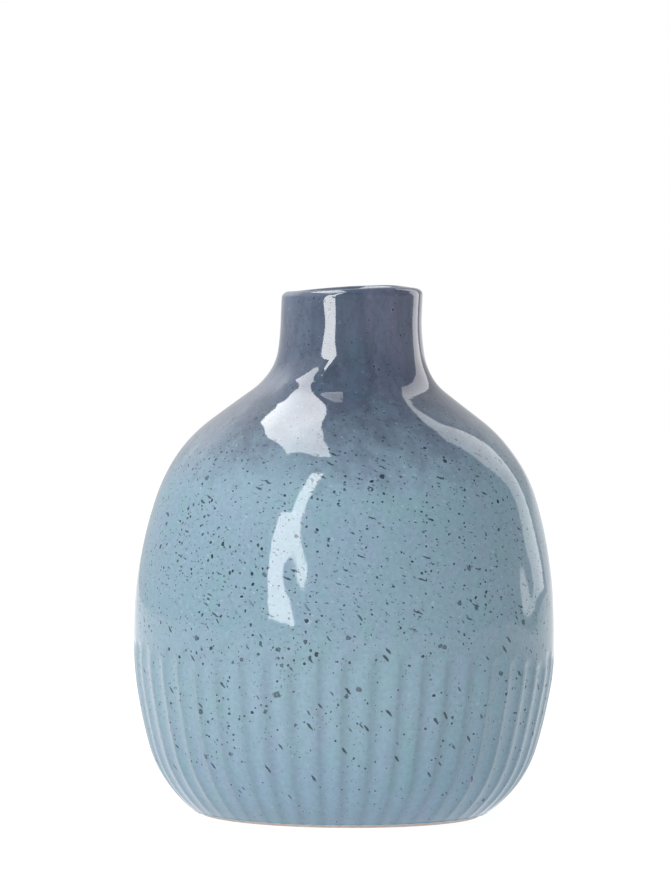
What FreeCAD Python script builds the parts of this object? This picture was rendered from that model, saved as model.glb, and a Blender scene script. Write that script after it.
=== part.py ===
import FreeCAD, Part
import Sketcher
import os
from math import sin, cos, pi, radians, degrees, sqrt, acos, asin, atan2
from FreeCAD import Vector

# Bottle vase: a slip-cast stoneware body with a low wide belly, a short
# straight neck and shallow upright flutes round the lower half, under fused
# coats of glaze.
#
# Frame: millimetres, +Z up along the vase's axis, Z = 0 on the face the vase
# stands on, X = Y = 0 on the axis.  -Y is the side that is looked at.
#
# Pieces
#   clay_body          the fired clay: wall, floor, foot ring, fluted outside
#   body_glaze         pale coat outside, from the bare foot edge to the shoulder
#   neck_glaze         slate coat: shoulder, neck, rim and the mouth's inside
#   liner_glaze        coat over the whole inside below the mouth
#   foot_recess_glaze  coat in the recess under the floor

doc = FreeCAD.newDocument("BottleVase")

# ---------------------------------------------------------------- sizes
sizes = [
    ("total_height", 150.8),          # foot face to top of the rim
    ("belly_radius", 60.0),           # widest radius, over the glaze
    ("belly_level", 52.5),            # height of the widest point
    ("lower_side_radius", 117.5),     # upright curve below the belly line
    ("lower_side_angle", 16.2),       # how far that curve turns, degrees
    ("foot_curve_radius", 34.5),      # tighter curve down to the foot
    ("upper_side_radius", 124.6),     # upright curve above the belly line
    ("upper_side_angle", 17.8),
    ("shoulder_radius", 44.7),        # curve of the shoulder
    ("slope_angle", 53.0),            # shoulder's straight run, off upright
    ("slope_length", 13.5),
    ("neck_fillet_radius", 17.5),     # hollow curve at the neck's root
    ("neck_taper_radius", 70.6),      # long curve that runs into the neck
    ("neck_radius", 20.1),            # straight neck, over the glaze
    ("wall_thickness", 4.1),          # clay and both coats together
    ("glaze_thickness", 0.5),         # outside coat
    ("liner_thickness", 0.4),         # inside coat
    ("mouth_curve_radius", 12.0),     # rounded inner edge under the bore
    ("floor_level", 7.0),             # inside floor, on the liner
    ("floor_fillet", 9.0),            # inside corner between floor and wall
    ("foot_ring_inside", 35.5),       # inner radius of the ring it stands on
    ("recess_slope", 1.5),            # how far the recess wall leans in
    ("recess_depth", 2.0),            # recess ceiling above the foot face
    ("recess_coat", 0.4),             # coat on the recess ceiling
    ("bare_foot_edge", 0.8),          # unglazed line above the foot face
    ("coat_join_level", 98.0),        # pale coat ends, slate coat begins
    ("mouth_coat_level", 133.0),      # slate coat ends inside the mouth
    ("lip_chamfer_across", 0.9),      # clay rim's trimmed corners
    ("lip_chamfer_down", 1.1),
    ("lip_coat", 0.5),                # coat over the flat clay rim
    ("flute_count", 50.0),
    ("flute_depth", 0.7),
    ("flute_top_level", 48.0),        # where a flute begins
    ("flute_run_in", 9.0),            # height over which it reaches full depth
    ("flute_phase", 6.8),             # first ridge, degrees from -Y towards +X
]
sheet = doc.addObject("Spreadsheet::Sheet", "Sizes")
for i, (alias, value) in enumerate(sizes):
    row = i + 1
    sheet.set("A%d" % row, alias)
    sheet.set("B%d" % row, "%g" % value)
    sheet.setAlias("B%d" % row, alias)
doc.recompute()


def val(alias):
    return float(sheet.get(alias))


# ------------------------------------------------- the vase's outline
# Outline over the glaze, as tangent arcs in (radius, height), and the same
# outline moved inwards by "off".  Angles are those of the surface normal above
# the horizontal.
def outer_chain(off):
    rb, zb = val("belly_radius"), val("belly_level")
    R1, a1 = val("lower_side_radius"), radians(val("lower_side_angle"))
    R2 = val("foot_curve_radius")
    R3, a3 = val("upper_side_radius"), radians(val("upper_side_angle"))
    R4, a4 = val("shoulder_radius"), radians(val("slope_angle"))
    R6, R7 = val("neck_fillet_radius"), val("neck_taper_radius")
    rn = val("neck_radius")
    c1 = (rb - R1, zb)
    c2 = (c1[0] + (R1 - R2) * cos(-a1), c1[1] + (R1 - R2) * sin(-a1))
    c3 = (rb - R3, zb)
    c4 = (c3[0] + (R3 - R4) * cos(a3), c3[1] + (R3 - R4) * sin(a3))
    p4 = (c4[0] + (R4 - off) * cos(a4), c4[1] + (R4 - off) * sin(a4))
    L = val("slope_length")
    p5 = (p4[0] - L * sin(a4), p4[1] + L * cos(a4))
    c6 = (p5[0] + (R6 + off) * cos(a4), p5[1] + (R6 + off) * sin(a4))
    a6 = acos((rn + R7 - c6[0]) / (R7 - R6))
    c7 = (rn + R7, c6[1] + (R7 - R6) * sin(a6))
    return {
        "c1": c1, "c2": c2, "c3": c3, "c4": c4, "c6": c6, "c7": c7,
        "R1": R1 - off, "R2": R2 - off, "R3": R3 - off, "R4": R4 - off,
        "R6": R6 + off, "R7": R7 + off,
        "a1": a1, "a3": a3, "a4": a4, "a6": a6, "p4": p4, "p5": p5,
        "rn": rn - off, "zn": c7[1],
    }


# Inside outline, at the distance w in from the outside: bore, rounded edge,
# slope, shoulder, side, foot curve, floor fillet and floor.
def inner_chain(w):
    k = outer_chain(w)
    wall = val("wall_thickness")
    Rm = val("mouth_curve_radius") + (w - wall)
    Rf = val("floor_fillet") + (wall - w)
    zf = val("floor_level") - (wall - w)
    rn, a4 = k["rn"], k["a4"]
    # the mouth curve touches the slope line and the bore
    cm_r = rn + Rm
    # point on the slope line below the mouth curve
    pm_r = cm_r - Rm * cos(a4)
    s = (k["p4"][0] - pm_r) / sin(a4)
    pm = (pm_r, k["p4"][1] + s * cos(a4))
    cm = (cm_r, pm[1] + Rm * sin(a4))
    c2, R2 = k["c2"], k["R2"]
    cf_z = zf + Rf
    d = R2 - Rf
    cf = (c2[0] + sqrt(d * d - (c2[1] - cf_z) ** 2), cf_z)
    af = atan2(c2[1] - cf[1], cf[0] - c2[0])
    k.update({"Rm": Rm, "cm": cm, "pm": pm, "Rf": Rf, "cf": cf, "zf": zf,
              "af": af})
    return k


def on(c, R, a):
    return (c[0] + R * cos(a), c[1] + R * sin(a))


# ------------------------------------------------------- sketch helper
class Section:
    """A half-section drawn in the XZ plane of a body, radius along its first
    axis and height along its second."""

    def __init__(self, label):
        self.body = doc.addObject("PartDesign::Body", label)
        self.body.Label = label
        plane = [f for f in self.body.Origin.OriginFeatures
                 if f.Role == "XZ_Plane"][0]
        self.sk = self.body.newObject("Sketcher::SketchObject",
                                      label + "_section")
        self.sk.AttachmentSupport = [(plane, "")]
        self.sk.MapMode = "FlatFace"

    def line(self, p, q):
        return self.sk.addGeometry(Part.LineSegment(
            Vector(p[0], p[1], 0), Vector(q[0], q[1], 0)), False)

    def arc(self, c, R, a0, a1):
        return self.sk.addGeometry(Part.ArcOfCircle(Part.Circle(
            Vector(c[0], c[1], 0), Vector(0, 0, 1), R), a0, a1), False)

    def con(self, *args):
        return self.sk.addConstraint(Sketcher.Constraint(*args))

    def dim(self, expression, *args):
        i = self.con(*args)
        self.sk.setExpression("Constraints[%d]" % i, expression)
        return i

    # height and radius of a point above the origin
    def height(self, geo, pos, value, expression):
        self.dim(expression, "DistanceY", -1, 1, geo, pos, value)

    def radius(self, geo, pos, value, expression):
        self.dim(expression, "DistanceX", -1, 1, geo, pos, value)

    def corner(self, g1, p1, g2, p2):
        self.con("Coincident", g1, p1, g2, p2)

    def smooth(self, g1, p1, g2, p2):
        self.con("Tangent", g1, p1, g2, p2)

    def revolve(self):
        rev = self.body.newObject("PartDesign::Revolution",
                                  self.body.Name + "_turned")
        rev.Profile = self.sk
        rev.ReferenceAxis = (self.sk, ["V_Axis"])
        rev.Angle = 360.0
        self.sk.Visibility = False
        self.body.Tip = rev
        self.body.Placement = FreeCAD.Placement(
            Vector(0, 0, 0), FreeCAD.Rotation(Vector(0, 0, 1), 0))
        return self.body


# centre of the shoulder curve, written with the sheet's names
C4_R = ("(Sizes.belly_radius - Sizes.upper_side_radius + "
        "(Sizes.upper_side_radius - Sizes.shoulder_radius) * "
        "cos(Sizes.upper_side_angle * 1 deg))")
C4_Z = ("(Sizes.belly_level + "
        "(Sizes.upper_side_radius - Sizes.shoulder_radius) * "
        "sin(Sizes.upper_side_angle * 1 deg))")


# shoulder, slope, neck fillet, neck taper and straight neck, as drawn up the
# outside at the inward distance "off"; returns the first and last elements
def neck_run(s, off, off_name, z_start, z_name, z_end, z_end_name):
    k = outer_chain(off)
    a_start = asin((z_start - k["c4"][1]) / k["R4"])
    e4 = s.arc(k["c4"], k["R4"], a_start, k["a4"])
    e5 = s.line(k["p4"], k["p5"])
    e6 = s.arc(k["c6"], k["R6"], pi + k["a6"], pi + k["a4"])
    e7 = s.arc(k["c7"], k["R7"], pi, pi + k["a6"])
    e8 = s.line((k["rn"], k["zn"]), (k["rn"], z_end))
    # the shoulder curve's centre lies left of the axis when the radius is
    # large, so its place is given from the origin with its own sign
    if k["c4"][0] >= 0:
        s.dim(C4_R, "DistanceX", -1, 1, e4, 3, k["c4"][0])
    else:
        s.dim("-1 * " + C4_R, "DistanceX", e4, 3, -1, 1, -k["c4"][0])
    s.dim(C4_Z, "DistanceY", -1, 1, e4, 3, k["c4"][1])
    s.dim("Sizes.shoulder_radius - (%s)" % off_name, "Radius", e4, k["R4"])
    s.height(e4, 1, z_start, z_name)
    s.smooth(e4, 2, e5, 1)
    s.dim("90 + Sizes.slope_angle", "Angle", e5, pi / 2 + k["a4"])
    s.dim("Sizes.slope_length", "Distance", e5, val("slope_length"))
    s.smooth(e5, 2, e6, 2)
    s.dim("Sizes.neck_fillet_radius + (%s)" % off_name, "Radius", e6, k["R6"])
    s.smooth(e6, 1, e7, 2)
    s.dim("Sizes.neck_taper_radius + (%s)" % off_name, "Radius", e7, k["R7"])
    s.smooth(e7, 1, e8, 1)
    s.con("Vertical", e8)
    s.radius(e8, 1, k["rn"], "Sizes.neck_radius - (%s)" % off_name)
    s.height(e8, 2, z_end, z_end_name)
    return e4, e8


# floor, floor fillet, foot curve, side, shoulder, slope, mouth curve and bore,
# as drawn up the inside at the distance w from the outside
def inside_run(s, w, w_name, z_end, z_end_name):
    k = inner_chain(w)
    gap = "(Sizes.wall_thickness - (%s))" % w_name
    f = s.line((0.0, k["zf"]), (k["cf"][0], k["zf"]))
    g = s.arc(k["cf"], k["Rf"], 1.5 * pi, 2 * pi - k["af"])
    e2 = s.arc(k["c2"], k["R2"], 2 * pi - k["af"], 2 * pi - k["a1"])
    e1 = s.arc(k["c1"], k["R1"], 2 * pi - k["a1"], 2 * pi)
    e3 = s.arc(k["c3"], k["R3"], 0.0, k["a3"])
    e4 = s.arc(k["c4"], k["R4"], k["a3"], k["a4"])
    e5 = s.line(k["p4"], k["pm"])
    em = s.arc(k["cm"], k["Rm"], pi, pi + k["a4"])
    e8 = s.line((k["rn"], k["cm"][1]), (k["rn"], z_end))
    s.con("Horizontal", f)
    s.con("PointOnObject", f, 1, -2)
    s.height(f, 1, k["zf"], "Sizes.floor_level - " + gap)
    s.smooth(f, 2, g, 1)
    s.dim("Sizes.floor_fillet + " + gap, "Radius", g, k["Rf"])
    s.smooth(g, 2, e2, 1)
    s.dim("Sizes.foot_curve_radius - (%s)" % w_name, "Radius", e2, k["R2"])
    s.smooth(e2, 2, e1, 1)
    s.dim("Sizes.lower_side_radius - (%s)" % w_name, "Radius", e1, k["R1"])
    s.dim("Sizes.lower_side_angle", "Angle", e1, k["a1"])
    s.smooth(e1, 2, e3, 1)
    s.con("Horizontal", e1, 3, e1, 2)
    s.radius(e1, 2, val("belly_radius") - w,
             "Sizes.belly_radius - (%s)" % w_name)
    s.height(e1, 2, val("belly_level"), "Sizes.belly_level")
    s.dim("Sizes.upper_side_radius - (%s)" % w_name, "Radius", e3, k["R3"])
    s.dim("Sizes.upper_side_angle", "Angle", e3, k["a3"])
    s.smooth(e3, 2, e4, 1)
    s.dim("Sizes.shoulder_radius - (%s)" % w_name, "Radius", e4, k["R4"])
    s.smooth(e4, 2, e5, 1)
    s.dim("90 + Sizes.slope_angle", "Angle", e5, pi / 2 + k["a4"])
    s.smooth(e5, 2, em, 2)
    s.dim("Sizes.mouth_curve_radius - " + gap, "Radius", em, k["Rm"])
    s.smooth(em, 1, e8, 1)
    s.con("Vertical", e8)
    s.radius(e8, 2, k["rn"], "Sizes.neck_radius - (%s)" % w_name)
    s.height(e8, 2, z_end, z_end_name)
    return f, e8


wall = val("wall_thickness")
coat = val("glaze_thickness")
liner = val("liner_thickness")
H = val("total_height")
rn = val("neck_radius")
za = val("coat_join_level")
zm = val("mouth_coat_level")
zt = H - val("lip_coat")                       # flat top of the clay rim
zc = zt - val("lip_chamfer_down")
dx = val("lip_chamfer_across")
TOP = "Sizes.total_height - Sizes.lip_coat"
CHAM = "Sizes.total_height - Sizes.lip_coat - Sizes.lip_chamfer_down"

# -------------------------------------------------------- neck_glaze
# Slate coat: up the shoulder and the neck, round over the rim, and down inside
# the mouth, against the clay all the way.
s = Section("neck_glaze")
a, b = neck_run(s, 0.0, "0", za, "Sizes.coat_join_level",
                H - wall / 2, "Sizes.total_height - Sizes.wall_thickness / 2")
lip = s.arc((rn - wall / 2, H - wall / 2), wall / 2, 0.0, pi)
bore = s.line((rn - wall, H - wall / 2), (rn - wall, zm))
step = s.line((rn - wall, zm), (rn - wall + liner, zm))
cb = s.line((rn - wall + liner, zm), (rn - wall + liner, zc))
ci = s.line((rn - wall + liner, zc), (rn - wall + liner + dx, zt))
ct = s.line((rn - wall + liner + dx, zt), (rn - coat - dx, zt))
co = s.line((rn - coat - dx, zt), (rn - coat, zc))
c, d = neck_run(s, coat, "Sizes.glaze_thickness", za, "Sizes.coat_join_level",
                zc, CHAM)
foot = s.line(on(outer_chain(coat)["c4"], outer_chain(coat)["R4"],
                 asin((za - outer_chain(coat)["c4"][1])
                      / outer_chain(coat)["R4"])),
              on(outer_chain(0.0)["c4"], outer_chain(0.0)["R4"],
                 asin((za - outer_chain(0.0)["c4"][1])
                      / outer_chain(0.0)["R4"])))
s.smooth(b, 2, lip, 1)
s.dim("Sizes.wall_thickness / 2", "Radius", lip, wall / 2)
s.smooth(lip, 2, bore, 1)
s.con("Vertical", bore)
s.corner(bore, 2, step, 1)
s.height(bore, 2, zm, "Sizes.mouth_coat_level")
s.con("Horizontal", step)
s.corner(step, 2, cb, 1)
s.con("Vertical", cb)
s.radius(cb, 1, rn - wall + liner,
         "Sizes.neck_radius - Sizes.wall_thickness + Sizes.liner_thickness")
s.height(cb, 2, zc, CHAM)
s.corner(cb, 2, ci, 1)
s.corner(ci, 2, ct, 1)
s.radius(ci, 2, rn - wall + liner + dx,
         "Sizes.neck_radius - Sizes.wall_thickness + Sizes.liner_thickness"
         " + Sizes.lip_chamfer_across")
s.height(ci, 2, zt, TOP)
s.con("Horizontal", ct)
s.corner(ct, 2, co, 1)
s.radius(co, 1, rn - coat - dx,
         "Sizes.neck_radius - Sizes.glaze_thickness"
         " - Sizes.lip_chamfer_across")
s.corner(co, 2, d, 2)
s.corner(c, 1, foot, 1)
s.corner(foot, 2, a, 1)
neck_glaze = s.revolve()
neck_sketch = s.sk

# ------------------------------------------------------- liner_glaze
# Coat over the inside, between the cavity's free surface and the clay, from
# the mouth coat down to the floor.
s = Section("liner_glaze")
f1, b1 = inside_run(s, wall, "Sizes.wall_thickness", zm,
                    "Sizes.mouth_coat_level")
f2, b2 = inside_run(s, wall - liner,
                    "Sizes.wall_thickness - Sizes.liner_thickness", zm,
                    "Sizes.mouth_coat_level")
top = s.line((rn - wall, zm), (rn - wall + liner, zm))
mid = s.line((0.0, val("floor_level")), (0.0, val("floor_level") - liner))
s.corner(b1, 2, top, 1)
s.corner(top, 2, b2, 2)
s.corner(f1, 1, mid, 1)
s.corner(mid, 2, f2, 1)
liner_glaze = s.revolve()
liner_sketch = s.sk

# --------------------------------------------------- the clay's hollow
# Inside of the clay, before the liner: used only to cut the clay.
s = Section("clay_hollow")
f1, b1 = inside_run(s, wall - liner,
                    "Sizes.wall_thickness - Sizes.liner_thickness", zc, CHAM)
over = 4.0                                   # runs this many chamfers past
slant = s.line((rn - wall + liner, zc),
               (rn - wall + liner + over * dx,
                zc + over * val("lip_chamfer_down")))
lid = s.line((rn - wall + liner + over * dx,
              zc + over * val("lip_chamfer_down")),
             (0.0, zc + over * val("lip_chamfer_down")))
axis = s.line((0.0, zc + over * val("lip_chamfer_down")),
              (0.0, val("floor_level") - liner))
s.corner(b1, 2, slant, 1)
s.corner(slant, 2, lid, 1)
s.radius(slant, 2, rn - wall + liner + over * dx,
         "Sizes.neck_radius - Sizes.wall_thickness + Sizes.liner_thickness"
         " + 4 * Sizes.lip_chamfer_across")
s.height(slant, 2, zc + over * val("lip_chamfer_down"),
         CHAM + " + 4 * Sizes.lip_chamfer_down")
s.con("Horizontal", lid)
s.con("PointOnObject", lid, 2, -2)
s.corner(lid, 2, axis, 1)
s.corner(axis, 2, f1, 1)
clay_hollow = s.revolve()
hollow_sketch = s.sk

# ----------------------------------------------------- foot recess coat
# A thin disc of glaze on the ceiling of the recess inside the foot ring.
body = doc.addObject("PartDesign::Body", "foot_recess_glaze")
body.Label = "foot_recess_glaze"
plane = [f for f in body.Origin.OriginFeatures if f.Role == "XY_Plane"][0]
sk = body.newObject("Sketcher::SketchObject", "recess_outline")
sk.AttachmentSupport = [(plane, "")]
sk.MapMode = "FlatFace"
sk.AttachmentOffset = FreeCAD.Placement(
    Vector(0, 0, val("recess_depth") - val("recess_coat")),
    FreeCAD.Rotation())
sk.setExpression("AttachmentOffset.Base.z",
                 "Sizes.recess_depth - Sizes.recess_coat")
ci_ = sk.addGeometry(Part.Circle(Vector(0, 0, 0), Vector(0, 0, 1), 34.0),
                     False)
sk.addConstraint(Sketcher.Constraint("Coincident", ci_, 3, -1, 1))
n = sk.addConstraint(Sketcher.Constraint("Radius", ci_, 34.0))
sk.setExpression("Constraints[%d]" % n,
                 "Sizes.foot_ring_inside - Sizes.recess_slope")
pad = body.newObject("PartDesign::Pad", "recess_coat_pad")
pad.Profile = sk
pad.Length = 0.4
pad.setExpression("Length", "Sizes.recess_coat")
sk.Visibility = False
body.Tip = pad
body.Placement = FreeCAD.Placement(Vector(0, 0, 0),
                                   FreeCAD.Rotation(Vector(0, 0, 1), 0))
foot_recess_glaze = body

# recess under the floor, used only to cut the clay
foot_recess = doc.addObject("Part::Cone", "foot_recess")
foot_recess.Label = "foot_recess"
foot_recess.setExpression("Height", "Sizes.recess_depth + 1")
foot_recess.setExpression(
    "Radius1", "Sizes.foot_ring_inside + Sizes.recess_slope"
    " / Sizes.recess_depth")
foot_recess.setExpression(
    "Radius2", "Sizes.foot_ring_inside - Sizes.recess_slope")
foot_recess.Placement = FreeCAD.Placement(
    Vector(0, 0, -1), FreeCAD.Rotation(Vector(0, 0, 1), 0))

doc.recompute()

# --------------------------------------------------------- fluted skins
# Round the lower half the outside is fluted: wide shallow hollows that meet in
# narrow upright ridges, narrowing with the vase towards the foot and fading
# out below the belly line.  The ridges lie on the outline, the hollows inside
# it.  The skin is one closed surface: a uniform ring of control points at each
# height, its radius pulled in across each hollow.
POLES_PER_FLUTE = 10


def step01(x):
    x = min(max(x, 0.0), 1.0)
    return x * x * (3 - 2 * x)


def fluted_surface(off):
    k = outer_chain(off)
    zb = val("belly_level")
    # outline from the foot face up to the belly line
    a_low = asin((0.0 - k["c2"][1]) / k["R2"])
    pts = []
    n2, n1 = 14, 12
    for i in range(n2):
        t = a_low + (-k["a1"] - a_low) * i / n2
        pts.append(on(k["c2"], k["R2"], t))
    for i in range(n1 + 1):
        t = -k["a1"] * (1 - i / n1)
        pts.append(on(k["c1"], k["R1"], t))
    curve = Part.BSplineCurve()
    t0 = (-sin(a_low), cos(a_low))
    curve.interpolate(Points=[Vector(p[0], 0, p[1]) for p in pts],
                      InitialTangent=Vector(t0[0], 0, t0[1]),
                      FinalTangent=Vector(0, 0, 1))
    vp = [(p.x, p.z) for p in curve.getPoles()]
    vk, vm = curve.getKnots(), curve.getMultiplicities()

    count = int(round(val("flute_count")))
    n = count * POLES_PER_FLUTE
    swell = 3.0 / (2.0 + cos(2 * pi / n))     # ring of poles onto its circle
    ridge0 = radians(-90.0 + val("flute_phase"))
    pitch = 2 * pi / count
    top, run = val("flute_top_level"), val("flute_run_in")
    depth = val("flute_depth")
    poles = []
    for j in range(n):
        # the first and last points of the closed rings lie at angle zero
        th = 2 * pi * (j - 1 + SEAM) / n
        x = ((th - ridge0) / pitch) % 1.0
        x = min(x, 1 - x) * 2.0               # 0 on a ridge, 1 mid hollow
        g = 1.0 - (1.0 - x) ** 2
        row = []
        for (r, z) in vp:
            dd = depth * g * step01((top - z) / run)
            dd *= (r / val("belly_radius")) ** 0.5
            rr = (r - dd) * swell
            row.append(Vector(rr * cos(th), rr * sin(th), z))
        poles.append(row)
    surf = Part.BSplineSurface()
    surf.buildFromPolesMultsKnots(
        poles, [1] * (n + 1), vm, list(range(n + 1)), vk, True, False, 3, 3)
    return surf


SEAM = 0.0
probe = fluted_surface(0.0).value(0.0, 0.5)
n_all = int(round(val("flute_count"))) * POLES_PER_FLUTE
SEAM = -round(atan2(probe.y, probe.x) / (2 * pi / n_all))


def v_at(surf, z):
    u0, u1, v0, v1 = surf.bounds()
    lo, hi = v0, v1
    for _ in range(80):
        m = 0.5 * (lo + hi)
        if surf.value(0.0, m).z < z:
            lo = m
        else:
            hi = m
    return 0.5 * (lo + hi)


def arc_edge(c, R, a0, a1):
    p = [on(c, R, a) for a in (a0, 0.5 * (a0 + a1), a1)]
    return Part.Arc(*[Vector(q[0], 0, q[1]) for q in p]).toShape()


def turned(edge):
    return edge.revolve(Vector(0, 0, 0), Vector(0, 0, 1), 360)


def seg_edge(p, q):
    return Part.LineSegment(Vector(p[0], 0, p[1]),
                            Vector(q[0], 0, q[1])).toShape()


def ring_face(outer, inner=None):
    wires = [Part.Wire([outer])]
    if inner is not None:
        wires.append(Part.Wire([inner]))
    return Part.Face(wires, "Part::FaceMakerBullseye")


def edge_at(face, z):
    best = None
    for e in face.Edges:
        bb = e.BoundBox
        if abs(bb.ZMin - z) < 1e-4 and abs(bb.ZMax - z) < 1e-4:
            best = e
    return best


def closed_solid(faces):
    shell = Part.makeCompound(faces)
    shell.sewShape(1e-4)
    if shell.ShapeType != "Shell":
        shell = shell.Shells[0]
    solid = Part.makeSolid(shell)
    if solid.Volume < 0:
        solid.reverse()
    return solid


# outside of the vase at the inward distance off, between two heights
def fluted_face(off, z0, z1):
    surf = fluted_surface(off)
    u0, u1, v0, v1 = surf.bounds()
    va = v0 if z0 <= 0 else v_at(surf, z0)
    surf.segment(u0, u1, va, v1)
    return surf.toShape()


# ----------------------------------------------------------- clay form
# Clay outside as one closed form: foot face, fluted skin to the belly line,
# turned shoulder and neck, chamfered flat rim.
zb = val("belly_level")
k = outer_chain(coat)
low = fluted_face(coat, 0.0, zb)
faces = [low,
         turned(arc_edge(k["c3"], k["R3"], 0.0, k["a3"])),
         turned(arc_edge(k["c4"], k["R4"], k["a3"], k["a4"])),
         turned(seg_edge(k["p4"], k["p5"])),
         turned(arc_edge(k["c6"], k["R6"], pi + k["a6"], pi + k["a4"])),
         turned(arc_edge(k["c7"], k["R7"], pi, pi + k["a6"])),
         turned(seg_edge((k["rn"], k["zn"]), (k["rn"], zc))),
         turned(seg_edge((k["rn"], zc), (k["rn"] - dx, zt)))]
faces.append(ring_face(edge_at(faces[0], 0.0)))
faces.append(ring_face(edge_at(faces[7], zt)))
clay_form = doc.addObject("Part::Feature", "clay_form")
clay_form.Label = "clay_form"
clay_form.Shape = closed_solid(faces)
clay_form.Placement = FreeCAD.Placement(
    Vector(0, 0, 0), FreeCAD.Rotation(Vector(0, 0, 1), 0))

# ---------------------------------------------------------- body_glaze
# Pale coat: from the bare foot edge, over the flutes and the belly, up to
# where the slate coat begins.
z0 = val("bare_foot_edge")
ko, ki = outer_chain(0.0), outer_chain(coat)
low_o, low_i = fluted_face(0.0, z0, zb), fluted_face(coat, z0, zb)
up_o = [turned(arc_edge(ko["c3"], ko["R3"], 0.0, ko["a3"])),
        turned(arc_edge(ko["c4"], ko["R4"], ko["a3"],
                        asin((za - ko["c4"][1]) / ko["R4"])))]
up_i = [turned(arc_edge(ki["c3"], ki["R3"], 0.0, ki["a3"])),
        turned(arc_edge(ki["c4"], ki["R4"], ki["a3"],
                        asin((za - ki["c4"][1]) / ki["R4"])))]
caps = [ring_face(edge_at(low_o, z0), edge_at(low_i, z0)),
        ring_face(edge_at(up_o[1], za), edge_at(up_i[1], za))]
body_glaze = doc.addObject("Part::Feature", "body_glaze")
body_glaze.Label = "body_glaze"
body_glaze.Shape = closed_solid([low_o, low_i] + up_o + up_i + caps)
body_glaze.Placement = FreeCAD.Placement(
    Vector(0, 0, 0), FreeCAD.Rotation(Vector(0, 0, 1), 0))

# ----------------------------------------------------------- clay_body
hollowed = doc.addObject("Part::Cut", "clay_hollowed")
hollowed.Base = clay_form
hollowed.Tool = clay_hollow
clay_body = doc.addObject("Part::Cut", "clay_body")
clay_body.Label = "clay_body"
clay_body.Base = hollowed
clay_body.Tool = foot_recess
clay_body.Placement = FreeCAD.Placement(
    Vector(0, 0, 0), FreeCAD.Rotation(Vector(0, 0, 1), 0))

doc.recompute()

# ---------------------------------------------------- checks and output
parts = [clay_body, body_glaze, neck_glaze, liner_glaze, foot_recess_glaze]
for obj in doc.Objects:
    bad = [x for x in obj.State if x in ("Invalid", "Error")]
    if bad:
        raise RuntimeError("%s: %s" % (obj.Label, bad))
for sk in (neck_sketch, liner_sketch, hollow_sketch):
    if sk.solve() != 0:
        raise RuntimeError("%s does not solve" % sk.Label)
for obj in parts:
    shp = obj.Shape
    if shp.isNull() or not shp.isValid():
        raise RuntimeError("%s: null or not valid" % obj.Label)
    if len(shp.Solids) != 1 or shp.Volume <= 0:
        raise RuntimeError("%s: not one solid" % obj.Label)
os.makedirs("parts", exist_ok=True)
for obj in parts:
    obj.Shape.exportStep("parts/%s.step" % obj.Label)
    bb = obj.Shape.BoundBox
    print("%-18s %10.1f mm3  x %.2f..%.2f y %.2f..%.2f z %.2f..%.2f" % (
        obj.Label, obj.Shape.Volume, bb.XMin, bb.XMax, bb.YMin, bb.YMax,
        bb.ZMin, bb.ZMax))
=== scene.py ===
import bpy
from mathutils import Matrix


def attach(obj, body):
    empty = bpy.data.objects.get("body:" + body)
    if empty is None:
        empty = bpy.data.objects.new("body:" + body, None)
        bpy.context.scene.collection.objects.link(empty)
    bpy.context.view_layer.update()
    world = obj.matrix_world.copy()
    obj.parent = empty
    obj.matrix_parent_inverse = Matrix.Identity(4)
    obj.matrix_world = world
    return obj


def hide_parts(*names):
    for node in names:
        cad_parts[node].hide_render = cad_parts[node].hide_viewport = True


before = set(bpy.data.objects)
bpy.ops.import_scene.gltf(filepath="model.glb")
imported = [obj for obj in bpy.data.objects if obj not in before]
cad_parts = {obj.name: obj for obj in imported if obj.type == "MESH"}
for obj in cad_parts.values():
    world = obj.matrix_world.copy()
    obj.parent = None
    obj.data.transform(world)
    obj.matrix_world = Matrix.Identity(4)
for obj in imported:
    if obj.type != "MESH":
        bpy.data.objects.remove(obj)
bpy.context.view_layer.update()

import bmesh
import bpy
import math
import numpy as np
from math import sin, cos, tan, pi, radians, asin, acos, atan2, sqrt, hypot

# Bottle vase, seen with its front along -Y.  Lengths in this file are in
# millimetres until a mesh is written, which happens in metres.
MM = 0.001
rng = np.random.default_rng(20617)

# ------------------------------------------------------------------ outline
RB, ZB = 60.0, 52.5
R1, A1 = 117.5, radians(16.2)
R2 = 34.5
R3, A3 = 124.6, radians(17.8)
R4, A4 = 44.7, radians(53.0)
SLOPE = 13.5
R6, R7 = 17.5, 70.6
RN = 20.1
H = 150.8
WALL, COAT, LINER = 4.1, 0.5, 0.4
Z_JOIN, Z_MOUTH = 98.0, 133.0
FLOOR_Z, FLOOR_R = 7.0, 9.0
MOUTH_R = 12.0

C1 = (RB - R1, ZB)
C2 = (C1[0] + (R1 - R2) * cos(A1), C1[1] - (R1 - R2) * sin(A1))
C3 = (RB - R3, ZB)
C4 = (C3[0] + (R3 - R4) * cos(A3), C3[1] + (R3 - R4) * sin(A3))


def arc(c, r, a0, a1, step):
    n = max(2, int(abs(a1 - a0) * r / step) + 1)
    t = np.linspace(a0, a1, n)
    return np.stack([c[0] + r * np.cos(t), c[1] + r * np.sin(t)], 1)


def join(parts):
    out = [parts[0]]
    for p in parts[1:]:
        out.append(p[1:])
    return np.concatenate(out)


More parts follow.
